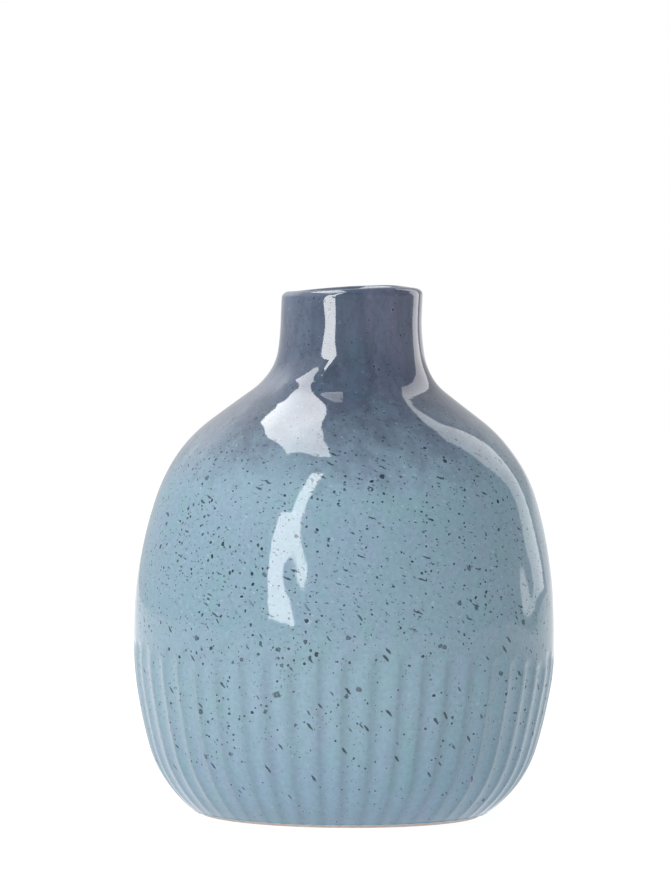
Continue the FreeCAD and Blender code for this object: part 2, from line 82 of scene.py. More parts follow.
def outside(off, step=0.25):
    """Outline at the inward distance off, from the foot face to the rim."""
    p4 = (C4[0] + (R4 - off) * cos(A4), C4[1] + (R4 - off) * sin(A4))
    p5 = (p4[0] - SLOPE * sin(A4), p4[1] + SLOPE * cos(A4))
    c6 = (p5[0] + (R6 + off) * cos(A4), p5[1] + (R6 + off) * sin(A4))
    a6 = acos((RN + R7 - c6[0]) / (R7 - R6))
    c7 = (RN + R7, c6[1] + (R7 - R6) * sin(a6))
    low = asin((0.0 - C2[1]) / (R2 - off))
    return join([
        arc(C2, R2 - off, low, -A1, step),
        arc(C1, R1 - off, -A1, 0.0, step),
        arc(C3, R3 - off, 0.0, A3, step),
        arc(C4, R4 - off, A3, A4, step),
        np.array([p4, p5]),
        arc(c6, R6 + off, pi + A4, pi + a6, step),
        arc(c7, R7 + off, pi + a6, pi, step),
        np.array([(RN - off, c7[1]), (RN - off, H)]),
    ])


def inside(w, step=0.5):
    """Inside outline at the distance w from the outside, floor to mouth."""
    p4 = (C4[0] + (R4 - w) * cos(A4), C4[1] + (R4 - w) * sin(A4))
    rm = MOUTH_R + (w - WALL)
    rf = FLOOR_R + (WALL - w)
    zf = FLOOR_Z - (WALL - w)
    rn = RN - w
    cm_r = rn + rm
    pm_r = cm_r - rm * cos(A4)
    s = (p4[0] - pm_r) / sin(A4)
    pm = (pm_r, p4[1] + s * cos(A4))
    cm = (cm_r, pm[1] + rm * sin(A4))
    d = (R2 - w) - rf
    cf = (C2[0] + sqrt(d * d - (C2[1] - zf - rf) ** 2), zf + rf)
    af = atan2(C2[1] - cf[1], cf[0] - C2[0])
    return join([
        np.array([(0.0, zf), (cf[0], zf)]),
        arc(cf, rf, -pi / 2, -af, step),
        arc(C2, R2 - w, -af, -A1, step),
        arc(C1, R1 - w, -A1, 0.0, step),
        arc(C3, R3 - w, 0.0, A3, step),
        arc(C4, R4 - w, A3, A4, step),
        np.array([p4, pm]),
        arc(cm, rm, pi + A4, pi, step),
        np.array([(rn, cm[1]), (rn, H)]),
    ])


def resample(poly, steps):
    """Points along a polyline; steps is a list of (height, spacing) knots."""
    seg = np.hypot(*np.diff(poly, axis=0).T)
    s = np.concatenate([[0], np.cumsum(seg)])
    out, here = [0.0], 0.0
    zs = np.array([k[0] for k in steps])
    ds = np.array([k[1] for k in steps])
    while here < s[-1]:
        z = np.interp(here, s, poly[:, 1])
        here += float(np.interp(z, zs, ds))
        out.append(here)
    out = np.array(out) * s[-1] / out[-1]
    return np.stack([np.interp(out, s, poly[:, 0]),
                     np.interp(out, s, poly[:, 1])], 1)


def part_of(poly, z0, z1):
    """The stretch of an outline between two heights (heights rising)."""
    keep = (poly[:, 1] > z0 + 1e-6) & (poly[:, 1] < z1 - 1e-6)
    a = (np.interp(z0, poly[:, 1], poly[:, 0]), z0)
    b = (np.interp(z1, poly[:, 1], poly[:, 0]), z1)
    return np.concatenate([[a], poly[keep], [b]])


# ----------------------------------------------- how the real one wanders
# The casting isn't quite true: the neck sits a little to the right of the
# belly, and the outline swells and dips by a tenth of a millimetre.
LEAN_Z = [0, 5, 8, 20, 40, 52, 60, 70, 80, 90, 98, 104, 110, 116, 121, 125,
          129, 134, 139, 143, 147, 151]
LEAN_X = [-.53, -.36, -.22, -.20, -.06, -.03, -.10, -.03, .08, .22, .28, .16,
          .28, .26, .42, .90, 1.18, 1.16, 1.12, 1.20, 1.40, 1.50]


def lean(z):
    z = np.asarray(z, float)
    out = np.zeros_like(z)
    for o in (-3.0, -1.5, 0.0, 1.5, 3.0):
        out += np.interp(z + o, LEAN_Z, LEAN_X)
    return out / 5.0


# The rim isn't level: its height by azimuth (0 in front, 90 on the right),
# lowest on the left, with two low swells right of the middle.
RIM_AZ = [-180, -160, -143, -125, -105, -90, -60, -30, 0, 25, 42, 62, 90,
          116, 128, 143, 156, 168, 180]
RIM_Z = [150.3, 149.8, 149.4, 148.95, 148.85, 148.95, 149.1, 149.65, 150.2,
         150.65, 150.78, 150.6, 150.05, 150.2, 150.5, 150.78, 150.6, 150.4,
         150.3]


def turn(th):
    """Azimuth in degrees, -180 to 180, of an angle round the vase."""
    return (np.degrees(th) + 270.0) % 360.0 - 180.0


def rim_lift(th, z):
    k = np.clip((z - 134.0) / 16.0, 0, 1) ** 2
    az = turn(th)
    out = 0.0
    for o in (-8.0, -4.0, 0.0, 4.0, 8.0):
        out = out + np.interp((az + o + 180) % 360 - 180, RIM_AZ, RIM_Z)
    return k * (out / 5.0 - H)


WAVES = []
for _ in range(46):
    lam = rng.uniform(14.0, 46.0)
    ang = rng.uniform(0, 2 * pi)
    kk = 2 * pi / lam
    kt = max(1, round(kk * cos(ang) * 50.0))     # whole waves round the vase
    WAVES.append((kt, kk * sin(ang) * 0.8, rng.uniform(0, 2 * pi),
                  lam / 30.0))

# Thumb-sized swellings and dents of the wall, as its reflections show them:
# azimuth, way up the outside from the foot, half width across and along,
# turn in degrees, height.
DENTS = [
    (-30.9, 58.5, 7, 7.1, 0, -0.038), (-5.8, 60.3, 7, 7, 0, 0.056),
    (-18.9, 60.5, 7, 6.8, 0, -0.066), (-25.1, 69.3, 6.6, 7, 1, -0.083),
    (-13.6, 77.9, 3.4, 6.2, 10, -0.365), (-6.1, 78.9, 7, 7.1, 0, -0.046),
    (-29.7, 79.4, 7, 7, 0, -0.01), (-19.4, 82.8, 6.7, 7.1, 0, 0.042),
    (-23.9, 90, 7, 7, 0, -0.012), (-12.2, 90.1, 6.7, 6.7, 0, -0.105),
    (-16.7, 101, 7.2, 6.7, 0, 0.047), (-30.8, 102.5, 7.2, 7.1, 0, -0.08),
    (-26.8, 108.6, 5.6, 5, 0, -0.131), (-16.8, 109.3, 5, 4.9, 1, -0.217),
    (-35.6, 109.6, 5.2, 5.2, 0, -0.013), (-8.4, 115, 5.4, 5.1, 0, -0.079),
    (-30.1, 116.6, 5.1, 5.2, 0, 0.059), (-20.4, 117.1, 4, 3.5, 2, 0.273),
    (-35.6, 123.5, 5.2, 5.2, 0, -0.017), (-7.6, 124.3, 2.9, 3.1, 0, 0.076),
    (-11.9, 124.7, 5.2, 5.1, 0, 0.02), (-15, 125, 2.9, 2.8, -1, 0.1),
    (-20.8, 125.1, 4.9, 5.3, 0, -0.093), (-47.9, 125.1, 2.9, 2.9, 0, -0.035),
    (-23.5, 125.2, 2.9, 2.9, 0, -0.031), (-32.1, 125.4, 2.9, 2.8, 0, 0.087),
    (-39.7, 125.9, 3, 2.8, 0, 0.032), (-43.6, 129.3, 2.9, 2.8, 0, 0.058),
    (-16.2, 129.8, 2.9, 2.8, 0, -0.055), (-34.5, 130.1, 2.9, 2.9, 0, -0.019),
    (-25.3, 130.1, 2.9, 2.9, 0, 0.012), (-7, 130.2, 2.9, 2.8, 0, 0.058),
    (-12, 130.5, 5.2, 5.2, 0, 0.007), (-29.8, 133.2, 4.8, 5.8, -2, 0.085),
    (-38.3, 134.2, 2.9, 2.9, 0, -0.073), (-47.7, 134.5, 3, 2.9, 0, -0.105),
    (-7.2, 134.7, 2.9, 2.9, 0, -0.008), (-27.8, 134.8, 2.9, 2.9, 0, 0.091),
    (-19.5, 139.2, 4.2, 4.8, 1, 0.009), (-7.5, 140.7, 3.1, 3.1, 0, -0.117),
    (-40.9, 140.9, 2.1, 2.5, 2, 0.406), (-38.6, 141.2, 4.6, 4.4, 0, 0.318),
    (-2.4, 141.8, 4.6, 4.3, 0, -0.233), (-28.5, 141.9, 2, 2.4, 11, 0.27),
    (-18.5, 142.3, 3, 2, -21, -0.236), (-35.4, 142.3, 3.3, 2.7, 3, 0.296),
    (-47.5, 143, 3.1, 3, -1, 0.168), (-28.7, 145.2, 4.5, 4.6, 0, 0.151),
    (-4, 145.7, 4.6, 4.3, 0, -0.23), (-21.1, 145.9, 2.8, 2.2, 6, 0.167),
    (-9.6, 146.3, 2, 2.6, 8, -0.35), (-40.7, 148.4, 2.9, 2.9, 0, 0.074),
    (-12, 148.5, 2.9, 3, 0, -0.062), (-24.5, 149.5, 2.6, 2, 5, -0.34),
    (-16.2, 152.9, 2.9, 3.5, -2, -0.114), (-32.6, 154.6, 4.6, 4.6, 0, 0.028),
    (-14.5, 155.4, 3.7, 4.8, -1, -0.072), (-6.4, 158.4, 3.2, 3.2, 0, -0.02),
    (-0.6, 160.6, 4.3, 4.8, 0, 0.077), (-28, 161.1, 4.5, 4.6, 0, -0.028),
    (-15.7, 164.6, 3.1, 3.5, 0, -0.079), (-33.8, 166.8, 2.9, 2.9, 0, 0.181),
    (41.1, 61.4, 7, 7, 0, 0.008), (54.7, 61.6, 7.1, 7, 0, -0.038),
    (66.6, 64.5, 7.1, 6.7, -1, -0.134), (48.9, 71.5, 6.6, 7.1, 0, 0.128),
    (60.8, 73.3, 4, 9, 6, -0.392), (72.4, 74.3, 6.9, 6.7, 0, 0.097),
    (42, 83.9, 7, 7, 0, 0.014), (54.5, 84.1, 7.1, 7.5, 0, -0.104),
    (67.9, 85.9, 7, 6.8, 0, -0.041), (66, 95.3, 5.6, 7.1, 5, 0.202),
    (49.1, 96.4, 7.6, 7.4, -1, -0.22), (65.1, 104.3, 4.9, 6.4, 4, 0.234),
    (28.6, 106.2, 6, 6, 0, -0.028), (42, 106.2, 6.2, 6.1, 0, -0.114),
    (53.8, 107.8, 6, 6.1, 0, -0.043), (62.8, 115.1, 6, 6.1, 0, 0.018),
    (34.4, 115.3, 5.1, 5.7, 1, -0.22), (49.2, 116.4, 5.6, 6.1, 2, 0.114),
    (1, 125.3, 2.9, 2.9, 0, -0.029), (1.8, 130.1, 2.9, 2.9, 0, 0.02),
    (29.8, 130.4, 4.7, 5.8, 1, 0.335), (45.8, 131.3, 4.4, 4.5, 0, -0.137),
    (2.9, 134.8, 2.9, 2.9, 0, -0.007), (39.4, 137.4, 4.6, 4.6, 0, -0.084),
    (57.1, 137.4, 5.3, 5.2, 0, -0.253), (4.2, 139.5, 2.9, 2.9, 0, -0.024),
    (27.4, 143.6, 4.4, 4.8, 0, 0.084), (53.7, 144.1, 5.2, 6, -6, -0.351),
    (4, 144.5, 3.2, 2.8, -1, -0.17), (1.9, 150, 3, 2.6, -2, 0.142),
    (31, 159, 4.6, 4.6, 0, 0.021), (51.1, 160.6, 4.5, 4.6, 0, 0.043),
    (50, 156, 5, 14, 0, 0.45),
]


OUT = outside(0.0)
WAY = np.concatenate([[0], np.cumsum(np.hypot(*np.diff(OUT, axis=0).T))])


def wander(th, z):
    """Uneven swelling of the wall, in mm, along the outward normal."""
    az = turn(th)
    # the long waves die away where the dents below describe the wall
    calm = (np.clip((az + 62) / 16, 0, 1) * np.clip((96 - az) / 14, 0, 1)
            * np.clip((z - 46) / 8, 0, 1))
    w = np.zeros(np.broadcast(th, z).shape)
    for kt, kz, ph, a in WAVES:
        w += a * np.sin(kt * th + kz * z + ph)
    w *= 0.0085 * (1 - calm)
    s = np.interp(z, OUT[:, 1], WAY)
    for d_az, d_s, across, along, rot, high in DENTS:
        rr = np.interp(d_s, WAY, OUT[:, 0])
        a = np.radians((az - d_az + 180) % 360 - 180) * rr
        b = s - d_s
        c, q = cos(radians(rot)), sin(radians(rot))
        u, v = (a * c + b * q) / across, (-a * q + b * c) / along
        w += high * np.exp(-0.5 * (u * u + v * v))
    return w


# ------------------------------------------------------------------ flutes
N_FL = 50
PITCH = 2 * pi / N_FL
ridge = radians(-90.0 + 6.8) + PITCH * np.arange(N_FL)
ridge = ridge + radians(0.32) * rng.standard_normal(N_FL).clip(-1.6, 1.6)
fl_depth = 0.70 * (1 + 0.13 * rng.standard_normal(N_FL).clip(-1.8, 1.8))
az_mid = (np.degrees(ridge + PITCH / 2) + 90 + 180) % 360 - 180
fl_top = 50.0 + 1.7 * rng.standard_normal(N_FL).clip(-1.7, 1.7)
fl_top -= 2.6 * np.clip((np.abs(az_mid) - 30) / 30.0, 0, 1) * (az_mid > 0)
fl_top -= 2.6 * np.clip((-70.0 - az_mid) / 10.0, 0, 1) * (az_mid > -120)
fl_run = 3.4 + 0.8 * rng.standard_normal(N_FL).clip(-1.5, 1.5)


def theta_grid(per):
    """Angles with vertices exactly on the ridges, per steps to a flute."""
    out = []
    for i in range(N_FL):
        a = ridge[i]
        b = ridge[(i + 1) % N_FL] + (2 * pi if i == N_FL - 1 else 0)
        out.append(a + (b - a) * np.arange(per) / per)
    return np.concatenate(out)


def smooth01(x):
    x = np.clip(x, 0, 1)
    return x * x * (3 - 2 * x)


def flute(th, z):
    """(depth in mm, hollow share 0..1) of the flutes at angle and height."""
    th = (th - ridge[0]) % (2 * pi) + ridge[0]
    edges = np.concatenate([ridge, [ridge[0] + 2 * pi]])
    i = np.clip(np.searchsorted(edges, th, side="right") - 1, 0, N_FL - 1)
    x = (th - edges[i]) / (edges[i + 1] - edges[i])
    g = 1.0 - (1.0 - 2.0 * np.abs(0.5 - np.abs(x - 0.5))) ** 2
    g = 1.0 - np.abs(2 * x - 1.0) ** 2.0
    top = fl_top[i] + 1.8 * (g - 0.6)          # rounded upper ends
    f = smooth01((top - z) / fl_run[i])
    size = np.interp(z, [0, 2.5, 7, 16, 50], [0.10, 0.22, 0.62, 0.90, 1.0])
    return fl_depth[i] * g * f * size, g * f


# -------------------------------------------------------------- mesh makers
def hold(v):
    """Eases what bulges past 59 mm from the axis back under 60 mm."""
    over = np.maximum(np.abs(v) - 59.0, 0.0)
    return np.sign(v) * (np.abs(v) - 0.125 * over)


def place(prof, nrm, th, off_scale=1.0, fluted=True, waves=True):
    """Profile rows (r, z) swept round the angles th, with the lean, rim, wall
    wander and flutes added.  Returns points (rows, angles, 3) and the hollow
    share."""
    r = prof[:, 0][:, None]
    z = prof[:, 1][:, None]
    T = th[None, :]
    nr, nz = nrm[:, 0][:, None], nrm[:, 1][:, None]
    d = np.zeros((len(prof), len(th)))
    share = np.zeros_like(d)
    if waves:
        d = d + wander(T, z) - 0.03
        d = d + 0.26 * np.exp(-((z - 42.5) / 6.5) ** 2)
    if fluted:
        dep, share = flute(T + 0 * z, z + 0 * T)
        d = d - dep
    rr = r + d * nr
    zz = z + d * nz * 0.999
    zz = zz + rim_lift(T, z)
    x = hold(lean(z) + rr * np.cos(T))
    y = hold(rr * np.sin(T))
    return np.stack([x, y, zz + 0 * T], 2), share


def normals(prof, closed=False):
    t = np.gradient(prof, axis=0)
    t /= np.hypot(*t.T)[:, None] + 1e-12
    return np.stack([t[:, 1], -t[:, 0]], 1)     # outward while z rises


def write_mesh(name, verts, faces, uvs, share, sharp_pairs=None):
    """faces: (n, 4) or a list of arrays with 3 or 4 columns; uvs to match."""
    me = bpy.data.meshes.new(name)
    verts = np.asarray(verts, float) * MM
    nv = len(verts)
    loops = np.concatenate([f.reshape(-1) for f in faces]).astype(np.int32)
    sizes = np.concatenate([np.full(len(f), f.shape[1]) for f in faces])
    starts = np.concatenate([[0], np.cumsum(sizes)[:-1]]).astype(np.int32)
    me.vertices.add(nv)
    me.vertices.foreach_set("co", verts.astype(np.float32).reshape(-1))
    me.loops.add(len(loops))
    me.loops.foreach_set("vertex_index", loops)
    me.polygons.add(len(sizes))
    me.polygons.foreach_set("loop_start", starts)
    me.update(calc_edges=True)
    me.validate()
    if uvs is not None:
        layer = me.uv_layers.new(name="OFBake")
        flat = np.concatenate([u.reshape(-1, 2) for u in uvs])
        layer.data.foreach_set("uv", flat.astype(np.float32).reshape(-1))
    att = me.attributes.new("hollow", "FLOAT", "POINT")
    att.data.foreach_set("value", np.asarray(share, np.float32))
    me.polygons.foreach_set("use_smooth", np.ones(len(sizes), bool))
    ob = bpy.data.objects.new(name, me)
    bpy.context.scene.collection.objects.link(ob)
    return ob


def skin(name, sections, th, sharp=None):
    """Closed skin swept round th.  sections: list of dicts with keys
      prof (rows, 2), fluted, waves, uv (box, pieces) in order round the
      section; neighbouring sections share their end rows.  A section that
      starts or ends on the axis is closed with one vertex there."""
    n = len(th)
    verts, share, rows = [], [], []
    count = 0
    # every row of the section once, each with its own ring of vertices
    ring_ids, ring_uvrow = [], []
    faces, uvs = [], []
    first = None
    prev = None
    for si, s in enumerate(sections):
        prof = s["prof"]
        nrm = s.get("nrm")
        if nrm is None:
            nrm = normals(prof)
            if s.get("flip"):
                nrm = -nrm
        pts, sh = place(prof, nrm, th, fluted=s.get("fluted", False),
                        waves=s.get("waves", False))
        ids = []
        for k in range(len(prof)):
            if k == 0 and prev is not None:
                ids.append(prev)
                continue
            if (k == len(prof) - 1 and si == len(sections) - 1
                    and first is not None and s.get("closes", False)):
                ids.append(first)
                continue
            if prof[k, 0] < 1e-6:
                verts.append(pts[k, :1])
                share.append(sh[k, :1])
                ids.append(np.array([count]))
                count += 1
            else:
                verts.append(pts[k])
                share.append(sh[k])
                ids.append(count + np.arange(n))
                count += n
            if first is None:
                first = ids[-1]
        prev = ids[-1]
        # uv: the sheet is cut into "cuts" equal runs round the vase, stacked
        u0, v0, u1, v1 = s["box"]
        cuts = s.get("cuts", 1)
        seg = np.hypot(*np.diff(prof, axis=0).T)
        along = np.concatenate([[0], np.cumsum(seg)])
        along /= along[-1]
        nc = s.get("columns", 1)
        per = n // cuts
        for k in range(len(prof) - 1):
            a, b = ids[k], ids[k + 1]
            for c in range(cuts):
                cx, cy = c % nc, c // nc
                nrws = (cuts + nc - 1) // nc
                pad = 0.006
                bu0 = u0 + (u1 - u0) * cx / nc + pad
                bu1 = u0 + (u1 - u0) * (cx + 1) / nc - pad
                bv0 = v0 + (v1 - v0) * cy / nrws + pad
                bv1 = v0 + (v1 - v0) * (cy + 1) / nrws - pad
                if u1 - u0 < 0.1:
                    bu0, bu1 = u0 + 0.001, u1 - 0.001
                if v1 - v0 < 0.1:
                    bv0, bv1 = v0 + 0.001, v1 - 0.001
                j = np.arange(c * per, (c + 1) * per)
                j2 = (j + 1) % n
                t0 = (j - c * per) / per
                t1 = t0 + 1.0 / per
                ua, ub = bu0 + (bu1 - bu0) * t0, bu0 + (bu1 - bu0) * t1
                va = bv0 + (bv1 - bv0) * along[k]
                vb = bv0 + (bv1 - bv0) * along[k + 1]
                if len(a) == n and len(b) == n:
                    faces.append(np.stack([a[j], a[j2], b[j2], b[j]], 1))
                    uvs.append(np.stack([
                        np.stack([ua, 0 * ua + va], 1),
                        np.stack([ub, 0 * ub + va], 1),
                        np.stack([ub, 0 * ub + vb], 1),
                        np.stack([ua, 0 * ua + vb], 1)], 1))
                elif len(a) == 1:
                    faces.append(np.stack([0 * j + a[0], b[j2], b[j]], 1))
                    uvs.append(np.stack([
                        np.stack([(ua + ub) / 2, 0 * ua + va], 1),
                        np.stack([ub, 0 * ub + vb], 1),
                        np.stack([ua, 0 * ua + vb], 1)], 1))
                else:
                    faces.append(np.stack([a[j], a[j2], 0 * j + b[0]], 1))
                    uvs.append(np.stack([
                        np.stack([ua, 0 * ua + va], 1),
                        np.stack([ub, 0 * ub + va], 1),
                        np.stack([(ua + ub) / 2, 0 * ua + vb], 1)], 1))
    ob = write_mesh(name, np.concatenate(verts), faces, uvs,
                    np.concatenate(share))
    # edges where two sections meet at an angle stay crisp
    me = ob.data
    me.set_sharp_from_angle(angle=radians(48))
    return ob


# ------------------------------------------------------------------ pieces
CLAY = outside(COAT)
FREE = inside(WALL)
CLAY_IN = inside(WALL - LINER)

th_f = theta_grid(12)
th_n = theta_grid(8)
th_c = theta_grid(6)

# body_glaze: a rounded lower edge that thins out on the clay just above the
# foot, the fluted outside, the butt joint with the slate coat, and the back.
edge_r = float(np.interp(1.0, OUT[:, 1], OUT[:, 0]))
out_rows = resample(part_of(OUT, 1.25, Z_JOIN), [(0, .55), (8, .8), (45, .85),
                                                (60, 1.05), (110, 1.05)])
back = part_of(CLAY, 0.85, Z_JOIN)
back_rows = resample(back, [(0, 1.6), (50, 3.2), (110, 3.2)])[::-1]
p_lo, q_lo = back_rows[-1], out_rows[0]
lip_pts = []
for t in np.linspace(0, 1, 6)[1:-1]:
    a = pi / 2 * t
    lip_pts.append(p_lo * (1 - sin(a)) + q_lo * sin(a)
                   + np.array([0.10, -0.16]) * sin(pi * t))
foot_edge = np.array([p_lo] + lip_pts + [q_lo])
joint = np.array([out_rows[-1], back_rows[0]])
n_back = -normals(back_rows)
body = skin("body_glaze_coat", [
    dict(prof=out_rows, fluted=True, waves=True, box=(0, 0, 1, .955),
         cuts=4, columns=2),
    dict(prof=joint, nrm=np.array([normals(out_rows)[-1], n_back[0]]),
         fluted=True, waves=True, box=(0, .957, 1, .962)),
    dict(prof=back_rows, nrm=n_back, fluted=True, waves=True,
         box=(0, .964, 1, .985)),
    dict(prof=foot_edge, nrm=np.linspace(n_back[-1], normals(out_rows)[0], 6),
         fluted=True, waves=True, box=(0, .987, 1, 1.0), closes=True),
], th_f)

# neck_glaze: shoulder, neck, rolled rim, inside of the mouth, and the back.
ZL = H - WALL / 2
neck_out = resample(part_of(OUT, Z_JOIN, ZL), [(90, 1.0), (112, .9), (125, .7),
                                              (152, .8)])
t = np.linspace(0, pi, 17)
lip = np.stack([RN - WALL / 2 + WALL / 2 * np.cos(t),
                ZL + WALL / 2 * np.sin(t)], 1)
lip_n = np.stack([np.cos(t), np.sin(t)], 1)
bore = resample(np.array([(RN - WALL, ZL), (RN - WALL, Z_MOUTH)]),
                [(120, 1.2), (152, 1.2)])
step = np.array([(RN - WALL, Z_MOUTH), (RN - WALL + LINER, Z_MOUTH)])
zt = H - 0.5
core = np.array([(RN - WALL + LINER, Z_MOUTH), (RN - WALL + LINER, 140.0),
                 (RN - WALL + LINER, zt - 1.1), (RN - WALL + LINER + .9, zt),
                 (RN - COAT - .9, zt), (RN - COAT, zt - 1.1)])
core_n = np.array([(1, 0), (1, 0), (1, 0), (0, 0), (0, 0), (1, 0)], float) * 0
down = resample(part_of(CLAY, Z_JOIN, zt - 1.1), [(90, 3.0), (152, 3.0)])[::-1]
n_down = -normals(down)
n_no = normals(neck_out)
neck = skin("neck_glaze_coat", [
    dict(prof=neck_out, waves=True, box=(0, 0, 1, .74), cuts=4, columns=2),
    dict(prof=lip, nrm=lip_n, waves=False, box=(0, .742, 1, .83)),
    dict(prof=bore, waves=False, box=(0, .832, 1, .955)),
    dict(prof=step, nrm=np.zeros((2, 2)), box=(0, .957, 1, .962)),
    dict(prof=core, nrm=core_n, box=(0, .964, 1, .972)),
    dict(prof=down, nrm=n_down, waves=True, box=(0, .974, 1, .99)),
    dict(prof=np.array([down[-1], neck_out[0]]),
         nrm=np.array([n_down[-1], n_no[0]]), waves=True,
         box=(0, .992, 1, 1.0), closes=True),
], th_n)

# liner_glaze: free inside surface up to the mouth, and its back on the clay.
free_rows = resample(part_of(FREE[1:], FREE[1, 1] + 1e-3, Z_MOUTH),
                     [(0, 1.6), (20, 2.4), (110, 2.4), (125, 1.4)])
free_rows = np.concatenate([[(0.0, FLOOR_Z), (12.0, FLOOR_Z),
                             (24.0, FLOOR_Z), (34.0, FLOOR_Z)], free_rows])
cl_rows = resample(part_of(CLAY_IN[1:], CLAY_IN[1, 1] + 1e-3, Z_MOUTH),
                   [(0, 2.4), (110, 3.6), (125, 2.0)])
cl_rows = np.concatenate([[(0.0, FLOOR_Z - LINER), (20.0, FLOOR_Z - LINER),
                           (34.0, FLOOR_Z - LINER)], cl_rows])
liner = skin("liner_glaze_coat", [
    dict(prof=cl_rows, nrm=np.zeros_like(cl_rows), box=(0, 0, 1, .1)),
    dict(prof=np.array([cl_rows[-1], free_rows[-1]]), nrm=np.zeros((2, 2)),
         box=(0, .102, 1, .108)),
    dict(prof=free_rows[::-1], nrm=np.zeros_like(free_rows),
         box=(0, .11, 1, 1.0), cuts=2),
], th_c)

# clay_body: foot ring, fluted outside under the coats, flat trimmed rim,
# inside, floor and the recess under it.
clay_out = resample(part_of(CLAY, 0.55, zt - 1.1), [(0, .8), (3, 1.2), (50, 2.2),
                                                   (152, 2.6)])
ring_in, rec_r, rec_z = 35.5, 34.0, 2.0
r0 = clay_out[0, 0]
foot_roll = np.array([(ring_in + .35, 0.0), (37.2, 0.0), (r0 - 1.35, 0.0),
                      (r0 - .75, 0.05), (r0 - .32, 0.2), (r0, 0.55)])
rec = np.array([(0.0, rec_z), (16.0, rec_z), (30.0, rec_z), (rec_r, rec_z),
                (ring_in - .15, .35), (ring_in + .35, 0.0)])
top = np.array([(RN - COAT, zt - 1.1), (RN - COAT - .9, zt),
                (RN - WALL + LINER + .9, zt), (RN - WALL + LINER, zt - 1.1)])
inn = np.concatenate([[(RN - WALL + LINER, zt - 1.1),
                       (RN - WALL + LINER, 140.0)], cl_rows[::-1]])
nz = lambda a: np.zeros_like(a)
n_co = normals(clay_out)
fr_n = np.concatenate([np.zeros((4, 2)), [n_co[0] * .6], [n_co[0]]])
clay = skin("clay_casting", [
    dict(prof=rec, nrm=nz(rec), box=(0, 0, 1, .12)),
    dict(prof=foot_roll, nrm=fr_n, fluted=True, waves=True,
         box=(0, .122, 1, .30)),
    dict(prof=clay_out, fluted=True, waves=True, box=(0, .302, 1, .70)),
    dict(prof=top, nrm=nz(top), box=(0, .702, 1, .715)),
    dict(prof=inn, nrm=nz(inn), box=(0, .717, 1, 1.0)),
], th_f)

# foot_recess_glaze: a thin disc with a rounded rim, on the recess ceiling.
rc = np.array([(0.0, 1.6), (14.0, 1.6), (27.0, 1.6), (33.3, 1.6), (33.75, 1.68),
               (33.95, 1.83), (34.0, 2.0), (20.0, 2.0), (0.0, 2.0)])
recess = skin("foot_recess_coat", [
    dict(prof=rc, nrm=nz(rc), box=(0, 0, 1, 1)),
], th_c)

for ob in (body, neck, liner, clay, recess):
    # outward faces
    me = ob.data
    bm = bmesh.new()
    bm.from_mesh(me)
    bmesh.ops.recalc_face_normals(bm, faces=bm.faces)
    if bm.calc_volume(signed=True) < 0:
        bmesh.ops.reverse_faces(bm, faces=bm.faces)
    bm.to_mesh(me)
    bm.free()

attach(body, "root"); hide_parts("body_glaze")
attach(neck, "root"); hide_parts("neck_glaze")
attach(liner, "root"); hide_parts("liner_glaze")
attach(clay, "root"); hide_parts("clay_body")
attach(recess, "root"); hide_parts("foot_recess_glaze")


